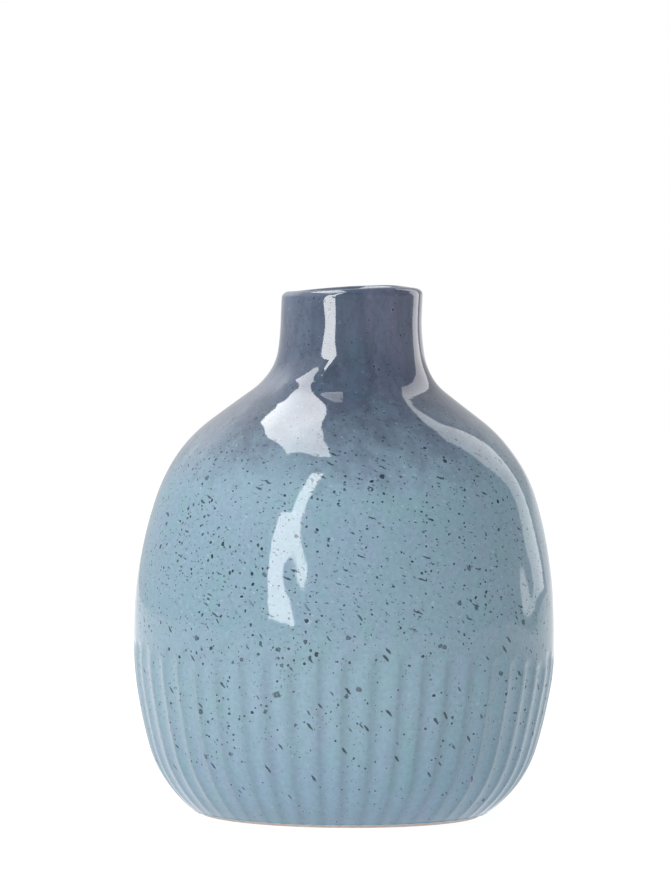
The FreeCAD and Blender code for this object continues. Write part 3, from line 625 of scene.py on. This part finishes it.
# --------------------------------------------------------------- materials
class Tree:
    def __init__(self, name):
        self.mat = bpy.data.materials.new(name)
        self.mat.use_nodes = True
        self.t = self.mat.node_tree
        self.t.nodes.clear()
        self.out = self.t.nodes.new("ShaderNodeOutputMaterial")
        self.bsdf = self.t.nodes.new("ShaderNodeBsdfPrincipled")
        self.link(self.bsdf.outputs[0], self.out.inputs[0])
        tc = self.t.nodes.new("ShaderNodeTexCoord")
        self.pos = self.math3("SCALE", tc.outputs["Object"], scale=1000.0)
        s = self.t.nodes.new("ShaderNodeSeparateXYZ")
        self.link(self.pos, s.inputs[0])
        self.x, self.y, self.z = s.outputs

    def link(self, a, b):
        self.t.links.new(a, b)

    def put(self, sock, v):
        if hasattr(v, "links"):
            self.link(v, sock)
        else:
            sock.default_value = v

    def math(self, op, a, b=None, c=None, clamp=False):
        n = self.t.nodes.new("ShaderNodeMath")
        n.operation = op
        n.use_clamp = clamp
        self.put(n.inputs[0], a)
        if b is not None:
            self.put(n.inputs[1], b)
        if c is not None:
            self.put(n.inputs[2], c)
        return n.outputs[0]

    def math3(self, op, a, b=None, scale=None):
        n = self.t.nodes.new("ShaderNodeVectorMath")
        n.operation = op
        self.put(n.inputs[0], a)
        if b is not None:
            self.put(n.inputs[1], b)
        if scale is not None:
            self.put(n.inputs["Scale"], scale)
        return n.outputs["Value"] if op in ("LENGTH", "DISTANCE", "DOT_PRODUCT") \
            else n.outputs[0]

    def rng(self, v, a, b, c=0.0, d=1.0, smooth=True):
        n = self.t.nodes.new("ShaderNodeMapRange")
        n.interpolation_type = "SMOOTHSTEP" if smooth else "LINEAR"
        n.clamp = True
        for i, q in enumerate((v, a, b, c, d)):
            self.put(n.inputs[i], q)
        return n.outputs[0]

    def noise(self, vec, scale, detail=2.0, rough=0.5, dist=0.0, colour=False):
        n = self.t.nodes.new("ShaderNodeTexNoise")
        n.noise_dimensions = "3D"
        self.link(vec, n.inputs["Vector"])
        n.inputs["Scale"].default_value = scale
        n.inputs["Detail"].default_value = detail
        n.inputs["Roughness"].default_value = rough
        n.inputs["Distortion"].default_value = dist
        return n.outputs["Color"] if colour else n.outputs["Fac"]

    def voronoi(self, vec, scale, feature="F1", random=1.0):
        n = self.t.nodes.new("ShaderNodeTexVoronoi")
        n.voronoi_dimensions = "3D"
        n.feature = feature
        self.link(vec, n.inputs["Vector"])
        n.inputs["Scale"].default_value = scale
        n.inputs["Randomness"].default_value = random
        if feature == "DISTANCE_TO_EDGE":
            return n.outputs["Distance"]
        return n.outputs["Distance"], n.outputs["Color"]

    def mapping(self, vec, rot=(0, 0, 0), scale=(1, 1, 1), loc=(0, 0, 0)):
        n = self.t.nodes.new("ShaderNodeMapping")
        self.link(vec, n.inputs[0])
        n.inputs["Location"].default_value = loc
        n.inputs["Rotation"].default_value = rot
        n.inputs["Scale"].default_value = scale
        return n.outputs[0]

    def mix(self, f, a, b):
        n = self.t.nodes.new("ShaderNodeMix")
        n.data_type = "RGBA"
        n.clamp_factor = True
        self.put(n.inputs[0], f)
        self.put(n.inputs[6], a)
        self.put(n.inputs[7], b)
        return n.outputs[2]

    def sep(self, col):
        n = self.t.nodes.new("ShaderNodeSeparateColor")
        self.link(col, n.inputs[0])
        return n.outputs


def srgb(r, g, b, k=1.0):
    def f(c):
        c /= 255.0
        c = c / 12.92 if c <= 0.04045 else ((c + 0.055) / 1.055) ** 2.4
        return c * k
    return (f(r), f(g), f(b), 1.0)


# tones of the glaze
PALE_A, PALE_B = srgb(125, 152, 166), srgb(128, 151, 168)
PALE_C = srgb(123, 153, 164)
SLATE_A, SLATE_B = srgb(70, 81, 101), srgb(67, 83, 101)
SLATE_L, SLATE_V = srgb(87, 98, 118), srgb(82, 86, 107)
MID_V = srgb(94, 104, 124)
INK_T, INK_B = srgb(16, 44, 58), srgb(38, 46, 54)

# the largest specks: place, radius in mm, and 1 for a brown one
BLOTS = [
    (-18.7, -56.1, 38.5, 1.29, 1), (-40.0, -42.5, 32.5, 0.91, 0),
    (-38.6, -39.8, 19.7, 1.03, 0), (-31.6, -45.9, 20.8, 1.03, 0),
    (-31.0, -45.7, 18.9, 0.86, 0), (-41.1, -43.7, 53.2, 0.91, 0),
    (-31.1, -51.2, 47.2, 0.86, 1), (-28.5, -52.7, 48.0, 0.69, 1),
    (-18.2, -57.2, 51.2, 0.86, 0), (-17.3, -57.3, 46.8, 0.80, 1),
    (-19.0, -56.9, 48.4, 0.69, 1), (1.2, -60.0, 54.8, 0.86, 0),
    (27.8, -53.2, 52.0, 0.86, 0), (26.6, -53.7, 52.4, 0.69, 0),
    (4.1, -59.2, 40.5, 1.03, 1), (4.7, -57.8, 31.0, 0.80, 0),
    (0.8, -59.2, 38.5, 0.80, 0), (-21.6, -54.4, 33.7, 0.69, 0),
    (-20.4, -54.6, 32.1, 0.63, 0), (-13.3, -56.3, 30.2, 0.63, 0),
    (-12.5, -56.3, 29.0, 0.63, 0), (50.5, -23.4, 21.6, 0.74, 0),
    (39.6, -27.3, 6.8, 0.74, 0), (-37.5, -32.1, 100.4, 0.86, 0),
    (-38.8, -33.2, 97.3, 0.80, 0), (34.6, -46.9, 73.5, 0.80, 0),
    (31.8, -50.2, 64.0, 0.86, 0), (5.6, -50.4, 98.3, 0.57, 0),
    (-22.3, -54.1, 71.6, 0.74, 0), (30.1, -47.8, 24.3, 0.80, 0)]


def glaze(name, neck=False):
    T = Tree(name)
    P = T.pos
    # angle round the vase as a length on the belly, 0 in front
    round_ = T.math("MULTIPLY", T.math("ARCTAN2", T.x, T.math("MULTIPLY", T.y, -1.0)), 60.0)
    # slow drifts of tone
    n_big = T.noise(P, 0.035, 2.0, 0.5)
    cloud = T.noise(T.mapping(P, scale=(1, 1, .7)), 0.15, 3.0, 0.6)
    cloud2 = T.noise(T.mapping(P, loc=(40, 9, 17), scale=(1, 1, .8)), 0.13, 3.0, 0.6)
    n_fine = T.noise(P, 0.75, 2.0, 0.6)
    streak = T.noise(T.mapping(P, scale=(1, 1, .16)), 0.16, 2.0, 0.5)
    # the change from slate to pale, wavering round the vase
    zz = T.math("ADD", T.z, T.math("MULTIPLY", T.math("SUBTRACT", cloud, 0.5), 13.0))
    zz = T.math("ADD", zz, T.math("MULTIPLY", T.math("SUBTRACT", streak, 0.5), 9.0))
    slate = T.rng(zz, 92.0, 120.0)
    half = T.math("MULTIPLY", T.math("MULTIPLY", slate, T.math("SUBTRACT", 1.0, slate)), 3.2)
    pale = T.mix(T.rng(cloud, .42, .62), PALE_A, PALE_B)
    pale = T.mix(T.rng(cloud2, .50, .68), pale, PALE_C)
    dark = T.mix(T.rng(cloud2, .40, .60), SLATE_A, SLATE_B)
    # the left of the neck is bluer and lighter, right of the run line duller
    side = T.rng(round_, -62.0, -6.0, 1.0, 0.0)
    dark = T.mix(T.math("MULTIPLY", side, T.rng(T.z, 112, 124, 0, 1)), dark, SLATE_L)
    col = T.mix(slate, pale, dark)
    violet = T.math("MULTIPLY", half, T.rng(cloud2, .44, .60, 0, .55))
    col = T.mix(violet, col, MID_V)
    # the edge of a thicker run of glaze down the right of the neck
    run_x = T.math("ADD", T.rng(T.z, 145.0, 127.0, 12.0, 19.0, smooth=False),
                   T.rng(T.z, 126.0, 119.0, 0.0, -7.5))
    run_x = T.math("ADD", run_x, T.rng(T.z, 118.5, 113.0, 0.0, 2.0))
    run_x = T.math("ADD", run_x, T.math("MULTIPLY", T.math("SUBTRACT", T.noise(P, .22, 1.0, .5), .5), 4.0))
    run_s = T.math("SUBTRACT", round_, run_x)
    run_d = T.math("ABSOLUTE", run_s)
    run_k = T.math("MULTIPLY", T.rng(T.z, 105.0, 113.0), T.rng(T.z, 150.0, 147.0))
    run = T.math("MULTIPLY", T.rng(run_d, 0.3, 3.2, 1.0, 0.0), run_k)
    # a violet cast on the thick side of the run, blue on the other
    thick = T.math("MULTIPLY", T.rng(run_s, 0.5, 9.0), T.rng(run_s, 62.0, 90.0, 1.0, 0.0))
    thick = T.math("MULTIPLY", thick, T.rng(T.z, 117.0, 127.0))
    col = T.mix(T.math("MULTIPLY", thick, T.rng(streak, .38, .60, .35, .95)), col, SLATE_V)
    # slow upright streaks in the slate
    tone = T.rng(T.noise(T.mapping(P, loc=(7, 70, 3), scale=(1, 1, .22)), 0.30, 3.0, 0.6),
                 .34, .66, -.10, .10)
    col = T.math3("SCALE", col, scale=T.math("ADD", 1.0, T.math("MULTIPLY", tone, slate)))
    warp2 = T.noise(P, .16, 2.0, .5, colour=True)
    Pv = T.math3("ADD", T.mapping(P, scale=(1, 1, .45)), T.math3("SCALE", T.math3(
        "SUBTRACT", warp2, (0.5, 0.5, 0.5)), scale=14.0))
    vein = T.voronoi(Pv, 0.085, "DISTANCE_TO_EDGE")
    _, bc = T.voronoi(Pv, 0.085)
    bt = T.rng(T.sep(bc)[1], 0.0, 1.0, 0.93, 1.07, smooth=False)
    vk = T.math("MULTIPLY", slate, T.rng(vein, 0.0, 0.055, 0.13, 0.0))
    col = T.math3("SCALE", col, scale=T.math("SUBTRACT", T.math("ADD", 1.0, T.math(
        "MULTIPLY", slate, T.math("SUBTRACT", bt, 1.0))), vk))
    col = T.mix(T.math("MULTIPLY", run, 0.26), col, srgb(50, 58, 76))
    # fine mottling and the pooling of glaze in the flutes
    val = T.math("ADD", 1.0, T.rng(n_fine, .30, .70, -0.055, 0.055))
    a = T.t.nodes.new("ShaderNodeAttribute")
    a.attribute_name = "hollow"
    hollow = a.outputs["Fac"]
    influte = T.rng(T.z, 52.0, 42.0)
    val = T.math("ADD", val, T.math("MULTIPLY", influte, T.math(
        "MULTIPLY", T.math("SUBTRACT", T.math("MULTIPLY", T.math("POWER", hollow, 1.8), 0.18), 0.095),
        T.rng(round_, -62.0, -18.0, 0.55, 1.0))))
    # darker and bluer towards the foot, above the bare line
    val = T.math("MULTIPLY", val, T.rng(T.z, 2.0, 9.0, 0.93, 1.0))
    foot = T.rng(T.z, 5.0, 36.0, 1.0, 0.0)
    # painted shade on the left of the slate and painted light on the right, and
    # darker and bluer low down on the right
    east = T.rng(round_, -45.0, 40.0, -1.0, 1.0)
    val = T.math("MULTIPLY", val, T.math("ADD", 1.0, T.math(
        "MULTIPLY", east, T.rng(T.z, 92.0, 108.0, 0.025, 0.075))))
    low_right = T.math("MULTIPLY", T.rng(round_, -5.0, 48.0), T.rng(T.z, 61.0, 45.0))
    # light flecks
    warp = T.noise(P, 0.9, 1.0, 0.5, colour=True)
    Pw = T.math3("ADD", P, T.math3("SCALE", T.math3("SUBTRACT", warp,
                                                    (0.5, 0.5, 0.5)), scale=0.8))
    d0, c0 = T.voronoi(T.math3("ADD", Pw, (11.0, 19.0, 5.0)), 0.75)
    f0 = T.rng(T.math("SUBTRACT", T.rng(T.sep(c0)[0], .40, 1, 0, .25, smooth=False), d0), 0, .10, 0, .10)
    val = T.math("ADD", val, f0)
    col = T.math3("SCALE", col, scale=val)
    col = T.math3("MULTIPLY", col, T.mix(foot, (1.0, 1.0, 1.0, 1.0), (0.87, 0.89, 0.94, 1.0)))
    col = T.math3("MULTIPLY", col, T.mix(low_right, (1.0, 1.0, 1.0, 1.0), (0.90, 0.935, 0.95, 1.0)))

    # iron specks: fewer on the neck, dense from the shoulder down
    body_k = T.rng(T.z, 124.0, 104.0, 0.85, 1.0)
    few = T.rng(T.z, 128.0, 112.0, 0.46, 0.0)
    patch = T.rng(T.noise(P, 0.07, 2.0, .5), .35, .65, 0.80, 1.12)
    body_k = T.math("MULTIPLY", body_k, patch)
    body_k = T.math("MULTIPLY", body_k, T.rng(T.z, 6.0, 40.0, 0.66, 1.0))

    halo = []

    def dots(vec, scale, keep, r0, r1, edge, dark, ring=None, k=body_k):
        """round specks; r0..r1 in cells; ring = (width, strength left)"""
        d, c = T.voronoi(vec, scale)
        r = T.sep(c)
        on = T.math("ADD", T.math("MULTIPLY", few, 1.0 - keep), keep)
        size = T.rng(r[0], on, 1.0, 0.0, 1.0, smooth=False)
        rad = T.math("MULTIPLY_ADD", T.math("MULTIPLY", size, size), r1 - r0, r0)
        rad = T.math("MULTIPLY", rad, T.math("GREATER_THAN", r[0], on))
        e = T.math("SUBTRACT", T.math("MULTIPLY", rad, k), d)
        s = T.rng(e, 0.0, edge, 0.0, dark)
        halo.append(T.math("MULTIPLY", T.math("MULTIPLY", T.rng(e, -.075, -.03), T.rng(e, -.03, .0, 1.0, 0.0)),
                           T.math("MULTIPLY", T.math("GREATER_THAN", r[0], on), T.rng(r[2], .3, .8))))
        if ring:
            s = T.math("MULTIPLY", s, T.rng(e, ring[0], ring[0] * 1.8, 1.0, ring[1]))
        return s, r

    s1, _ = dots(Pw, 0.66, .22, .11, .33, .06, .82)
    s1b, _ = dots(T.math3("ADD", Pw, (9.0, 3.0, 27.0)), 0.95, .10, .12, .36, .10, .36)
    s2, r2 = dots(T.math3("ADD", Pw, (31.0, 7.0, 11.0)), 0.34, .46, .10, .235, .045, .94, (.12, .84))
    s3, r3 = dots(T.math3("ADD", Pw, (3.0, 57.0, 21.0)), 0.15, .84, .09, .135, .020, .82, (.045, .78))
    spk = T.math("MAXIMUM", T.math("MAXIMUM", s1, s1b), T.math("MAXIMUM", s2, s3))

    # strokes: flat above the flutes, steeper among them
    uw = T.sep(warp)
    wob = T.math("MULTIPLY", T.math("SUBTRACT", uw[0], .5), 0.9)
    back = T.rng(T.math("ABSOLUTE", round_), 184.0, 186.5, 1.0, 0.0)

    def strokes(angle, scale, stretch, keep, r0, r1, dark, z0, z1, z2, z3, off):
        ca, sa = cos(radians(angle)), sin(radians(angle))
        zz_ = T.math("ADD", T.z, wob)
        al = T.math("SUBTRACT", T.math("MULTIPLY", round_, ca), T.math("MULTIPLY", zz_, sa))
        ac = T.math("ADD", T.math("MULTIPLY", round_, sa), T.math("MULTIPLY", zz_, ca))
        n = T.t.nodes.new("ShaderNodeCombineXYZ")
        T.put(n.inputs[0], T.math("MULTIPLY", al, stretch))
        T.put(n.inputs[1], ac)
        n.inputs[2].default_value = 0.0
        v = T.t.nodes.new("ShaderNodeTexVoronoi")
        v.voronoi_dimensions = "2D"
        T.link(T.math3("ADD", n.outputs[0], (off, off * 1.7, 0.0)), v.inputs["Vector"])
        v.inputs["Scale"].default_value = scale
        r = T.sep(v.outputs["Color"])
        rad = T.rng(r[0], keep, 1.0, r0, r1, smooth=False)
        rad = T.math("MULTIPLY", rad, T.math("GREATER_THAN", r[0], keep))
        e = T.math("SUBTRACT", rad, v.outputs["Distance"])
        s = T.rng(e, 0.0, r1 * .45, 0.0, dark)
        s = T.math("MULTIPLY", s, back)
        s = T.math("MULTIPLY", s, T.rng(T.z, z0, z1))
        return T.math("MULTIPLY", s, T.rng(T.z, z2, z3, 1.0, 0.0))

    k4 = strokes(16, 0.62, 0.36, .30, .05, .17, .62, 50, 60, 114, 124, 500.0)
    k5 = strokes(14, 0.60, 0.36, .55, .05, .15, .16, 50, 60, 114, 124, 700.0)
    col = T.mix(k5, col, srgb(222, 228, 232))
    k1 = strokes(19, 0.27, 0.20, .50, .045, .105, .85, 52, 62, 112, 120, 0.0)
    k2 = strokes(48, 0.27, 0.30, .52, .05, .140, .88, 4, 9, 58, 68, 90.0)
    k3 = strokes(4, 0.40, 0.30, .60, .05, .12, .70, 88, 98, 150, 151, 300.0)
    spk = T.math("MAXIMUM", spk, T.math("MAXIMUM", T.math("MAXIMUM", k1, k4), T.math("MAXIMUM", k2, k3)))
    glow = T.math("MAXIMUM", halo[0], halo[2])
    col = T.mix(T.math("MULTIPLY", glow, 0.13), col, srgb(226, 232, 234))
    ink = T.mix(T.rng(r2[1], .55, 1.0), INK_T, INK_B)
    col = T.mix(spk, col, ink)

    # the largest ones
    if not neck:
        near, near_b = None, None
        wv = T.noise(P, 1.1, 2.0, 0.6, colour=True)
        Pb = T.math3("ADD", P, T.math3("SCALE", T.math3("SUBTRACT", wv, (0.5, 0.5, 0.5)), scale=1.3))
        for x, y, z, r, brown in BLOTS:
            d = T.math("MULTIPLY", T.math3("DISTANCE", Pb, (x, y, z)), 1.0 / r)
            if brown:
                near_b = d if near_b is None else T.math("MINIMUM", near_b, d)
            else:
                near = d if near is None else T.math("MINIMUM", near, d)
        for d, tint, heart in ((near, INK_T, .68), (near_b, INK_B, .62)):
            s = T.math("MULTIPLY", T.rng(d, 1.05, 0.62, 0.0, .86),
                       T.rng(d, .75, .35, 1.0, heart))
            col = T.mix(s, col, tint)
    T.link(col, T.bsdf.inputs["Base Color"])

    # gloss: thicker and glassier on the neck
    b = T.bsdf.inputs
    b["Roughness"].default_value = 0.05
    b["IOR"].default_value = 1.45
    b["Coat IOR"].default_value = 1.5
    b["Coat Roughness"].default_value = 0.03
    T.link(T.rng(T.z, 92.0, 110.0, 0.0, 0.52), b["Coat Weight"])
    # surface: slow ripple, orange peel
    h1 = T.noise(P, 0.17, 2.0, 0.5)
    h2 = T.noise(P, 0.7, 2.0, 0.5)
    hh = T.math("ADD", T.math("MULTIPLY", h1, 0.030), T.math("MULTIPLY", h2, 0.0030))
    hh = T.math("ADD", hh, T.math("MULTIPLY", spk, -0.0030))
    hh = T.math("ADD", hh, T.math("MULTIPLY", run, -0.02))
    b1 = T.t.nodes.new("ShaderNodeBump")
    b1.inputs["Strength"].default_value = 1.0
    b1.inputs["Distance"].default_value = 0.001
    T.link(hh, b1.inputs["Height"])
    T.link(b1.outputs[0], b["Normal"])
    T.link(b1.outputs[0], b["Coat Normal"])
    return T.mat


def bare_clay(name):
    T = Tree(name)
    P = T.pos
    n = T.noise(P, 0.5, 4.0, 0.6)
    n2 = T.noise(P, 0.06, 2.0, 0.5)
    col = T.mix(T.rng(n, .35, .65), srgb(172, 160, 152), srgb(186, 175, 167))
    col = T.mix(T.rng(n2, .4, .65, 0, .5), col, srgb(182, 162, 155))
    d, c = T.voronoi(P, 1.1)
    r = T.sep(c)
    s = T.rng(T.math("SUBTRACT", T.rng(r[0], .6, 1, 0, .2, smooth=False), d), 0, .06, 0, .5)
    col = T.mix(s, col, srgb(120, 104, 92))
    T.link(col, T.bsdf.inputs["Base Color"])
    T.bsdf.inputs["Roughness"].default_value = 0.75
    b = T.t.nodes.new("ShaderNodeBump")
    b.inputs["Distance"].default_value = 0.001
    T.link(T.math("MULTIPLY", T.noise(P, 1.6, 3.0, .6), 0.10), b.inputs["Height"])
    T.link(b.outputs[0], T.bsdf.inputs["Normal"])
    return T.mat


g_body = glaze("pale_glaze_outside")
g_neck = glaze("slate_glaze_outside", neck=True)
g_clay = bare_clay("fired_clay")


def plain_glaze(name):
    T = Tree(name)
    P = T.pos
    n = T.noise(P, 0.06, 3.0, 0.55)
    col = T.mix(T.rng(n, .35, .65), srgb(120, 140, 156), srgb(112, 138, 150))
    d, c = T.voronoi(P, 0.30)
    r = T.sep(c)
    s = T.rng(T.math("SUBTRACT", T.rng(r[0], .5, 1, 0, .19, smooth=False), d), 0, .05, 0, .8)
    col = T.mix(s, col, srgb(52, 62, 66))
    T.link(col, T.bsdf.inputs["Base Color"])
    T.bsdf.inputs["Roughness"].default_value = 0.12
    b = T.t.nodes.new("ShaderNodeBump")
    b.inputs["Distance"].default_value = 0.001
    T.link(T.math("MULTIPLY", T.noise(P, .3, 2.0, .5), 0.15), b.inputs["Height"])
    T.link(b.outputs[0], T.bsdf.inputs["Normal"])
    return T.mat


g_in = plain_glaze("glaze_inside")
body.data.materials.append(g_body)
neck.data.materials.append(g_neck)
liner.data.materials.append(g_in)
recess.data.materials.append(g_in)
clay.data.materials.append(g_clay)

# ------------------------------------------------------------------- stage
fm = bpy.data.meshes.new("floor")
fr = 2.35
ang = np.linspace(0, 2 * pi, 97)[:-1]
fv = [(fr * cos(a), fr * sin(a), 0.0) for a in ang]
fm.from_pydata(fv, [], [list(range(96))])
floor = bpy.data.objects.new("floor", fm)
bpy.context.scene.collection.objects.link(floor)
fmat = bpy.data.materials.new("floor_white")
fmat.use_nodes = True
bs = fmat.node_tree.nodes["Principled BSDF"]
bs.inputs["Base Color"].default_value = (0.20, 0.20, 0.20, 1)
bs.inputs["Roughness"].default_value = 0.9
bs.inputs["Specular IOR Level"].default_value = 0.0
bs.inputs["Emission Color"].default_value = (1, 1, 1, 1)
bs.inputs["Emission Strength"].default_value = 0.93
fm.materials.append(fmat)

scene = bpy.context.scene
scene.view_settings.view_transform = "Standard"
scene.view_settings.look = "None"
scene.view_settings.exposure = 0.0
scene.view_settings.gamma = 1.0

# world: white to the eye; to the vase a pale room, brighter towards the
# horizon, on the left and behind
world = bpy.data.worlds.new("studio")
scene.world = world
world.use_nodes = True
wt = world.node_tree
wt.nodes.clear()


def wnode(kind, **kw):
    n = wt.nodes.new(kind)
    for k, v in kw.items():
        setattr(n, k, v)
    return n


def wmath(op, a, b):
    n = wnode("ShaderNodeMath", operation=op)
    for i, v in enumerate((a, b)):
        if hasattr(v, "links"):
            wt.links.new(v, n.inputs[i])
        else:
            n.inputs[i].default_value = v
    return n.outputs[0]


def wramp(v, a, b, c, d):
    n = wnode("ShaderNodeMapRange", interpolation_type="SMOOTHSTEP")
    wt.links.new(v, n.inputs[0])
    for i, q in enumerate((a, b, c, d)):
        n.inputs[i + 1].default_value = q
    return n.outputs[0]


wo = wnode("ShaderNodeOutputWorld")
bg_see = wnode("ShaderNodeBackground")
bg_see.inputs[0].default_value = (1, 1, 1, 1)
bg_see.inputs[1].default_value = 1.0
bg_lit = wnode("ShaderNodeBackground")
lp = wnode("ShaderNodeLightPath")
mx = wnode("ShaderNodeMixShader")
tc = wnode("ShaderNodeTexCoord")
sx = wnode("ShaderNodeSeparateXYZ")
wt.links.new(tc.outputs["Generated"], sx.inputs[0])
wx, wy, wz = sx.outputs
left = wmath("MULTIPLY", wramp(wx, -0.62, -0.15, 0.62, 0.0), wramp(wz, 0.18, 0.50, 0.0, 1.0))
horizon = wramp(wz, 0.0, 0.42, 0.31, 0.0)
behind = wmath("MULTIPLY", wramp(wy, 0.35, 0.95, 0.0, 1.0), wramp(wx, -0.30, 0.22, 0.56, 0.38))
behind = wmath("MULTIPLY", behind, wramp(wz, 0.0, 0.50, 0.62, 1.0))
amount = wmath("ADD", wmath("ADD", 0.31, left), wmath("MAXIMUM", horizon, behind))
# low down: a bright patch behind on the right, dim beside it
low = wmath("MULTIPLY", wramp(wz, 0.03, 0.10, 1.0, 0.0), wramp(wy, 0.0, 0.3, 0.0, 1.0))
patch = wmath("MULTIPLY", wramp(wx, 0.0, 0.12, 0.0, 1.0), wramp(wx, 0.49, 0.53, 1.0, 0.0))
beside = wmath("MULTIPLY", wramp(wx, 0.49, 0.53, 0.0, 1.0), wramp(wz, 0.0, 0.06, 1.0, 0.0))
amount = wmath("ADD", amount, wmath("MULTIPLY", low, wmath("SUBTRACT", wmath(
    "MULTIPLY", patch, 0.34), wmath("MULTIPLY", beside, 0.14))))
under = wmath("MULTIPLY", wramp(wz, -0.04, -0.015, 1.0, 0.0), wramp(wx, -0.35, -0.10, 1.0, 0.0))
amount = wmath("SUBTRACT", amount, wmath("MULTIPLY", under, 0.25))
bg_lit.inputs[0].default_value = (0.96, 0.97, 1.0, 1)
wt.links.new(amount, bg_lit.inputs[1])
wt.links.new(lp.outputs["Is Camera Ray"], mx.inputs[0])
wt.links.new(bg_lit.outputs[0], mx.inputs[1])
wt.links.new(bg_see.outputs[0], mx.inputs[2])
wt.links.new(mx.outputs[0], wo.inputs[0])


def softbox(name, centre, target, w, h, radiance, colour=(1, 1, 1), up=(0, 0, 1)):
    """A rectangular light w wide and h tall at centre, facing target (m)."""
    from mathutils import Vector, Matrix
    d = bpy.data.lights.new(name, "AREA")
    d.shape = "RECTANGLE"
    d.size, d.size_y = w, h
    d.energy = radiance * pi * w * h
    d.color = colour
    o = bpy.data.objects.new(name, d)
    c, t = Vector(centre), Vector(target)
    f = (t - c).normalized()
    r = f.cross(Vector(up)).normalized()
    u = r.cross(f)
    o.matrix_world = Matrix(((r.x, u.x, -f.x, c.x), (r.y, u.y, -f.y, c.y),
                             (r.z, u.z, -f.z, c.z), (0, 0, 0, 1)))
    o.visible_camera = False
    bpy.context.scene.collection.objects.link(o)
    return o


def along_way(c, f):
    return (c[0] + f[0], c[1] + f[1], c[2] + f[2])


# tall strip in front on the left, a thin one leaning in above it, a big
# softbox overhead on the left, and a tall one behind on the right
for name, c, f, w, h, power, up in (
        ("strip_left", (-0.704, -1.033, 0.415), (0.5736, 0.8192, 0.0),
         0.306, 0.647, 10.0, (0, 0, 1)),
        ("strip_left_high", (-0.467, -0.813, 0.927), (0.3546, 0.6397, -0.6820),
         0.145, 0.665, 10.0, (0, 0, 1)),
        ("overhead_left", (-0.371, 0.186, 1.120), (0.0, 0.0, -1.0),
         0.414, 1.053, 6.0, (0, 1, 0)),
        ("strip_right", (0.8557, 0.7361, 0.645), (-0.6878, -0.6215, -0.3746),
         0.490, 1.280, 1.66, (0, 0, 1))):
    softbox(name, c, along_way(c, f), w, h, power, up=up)

# ------------------------------------------------------------------ camera
cam = bpy.data.cameras.new("camera")
co = bpy.data.objects.new("camera", cam)
scene.collection.objects.link(co)
cam.sensor_fit = "HORIZONTAL"
cam.sensor_width = 36.0
F_PX, W_PX, H_PX = 6327.0, 670.0, 893.0
cam.lens = F_PX / W_PX * 36.0
cam.clip_start, cam.clip_end = 0.05, 50.0
from mathutils import Vector, Matrix
pitch, roll = radians(2.6012) + 1.2 / 6300, radians(0.5)
yaw = atan2(12.2, 6300.0)
fw = Vector((-sin(yaw) * cos(pitch), cos(yaw) * cos(pitch), -sin(pitch)))
rt = Vector((cos(yaw), sin(yaw), 0.0))
up = rt.cross(fw)
r2 = rt * cos(roll) + up * sin(roll)
u2 = up * cos(roll) - rt * sin(roll)
C = Vector((0.00036, -1.8, 0.187))
co.matrix_world = Matrix(((r2.x, u2.x, -fw.x, C.x), (r2.y, u2.y, -fw.y, C.y),
                          (r2.z, u2.z, -fw.z, C.z), (0, 0, 0, 1)))
scene.camera = co
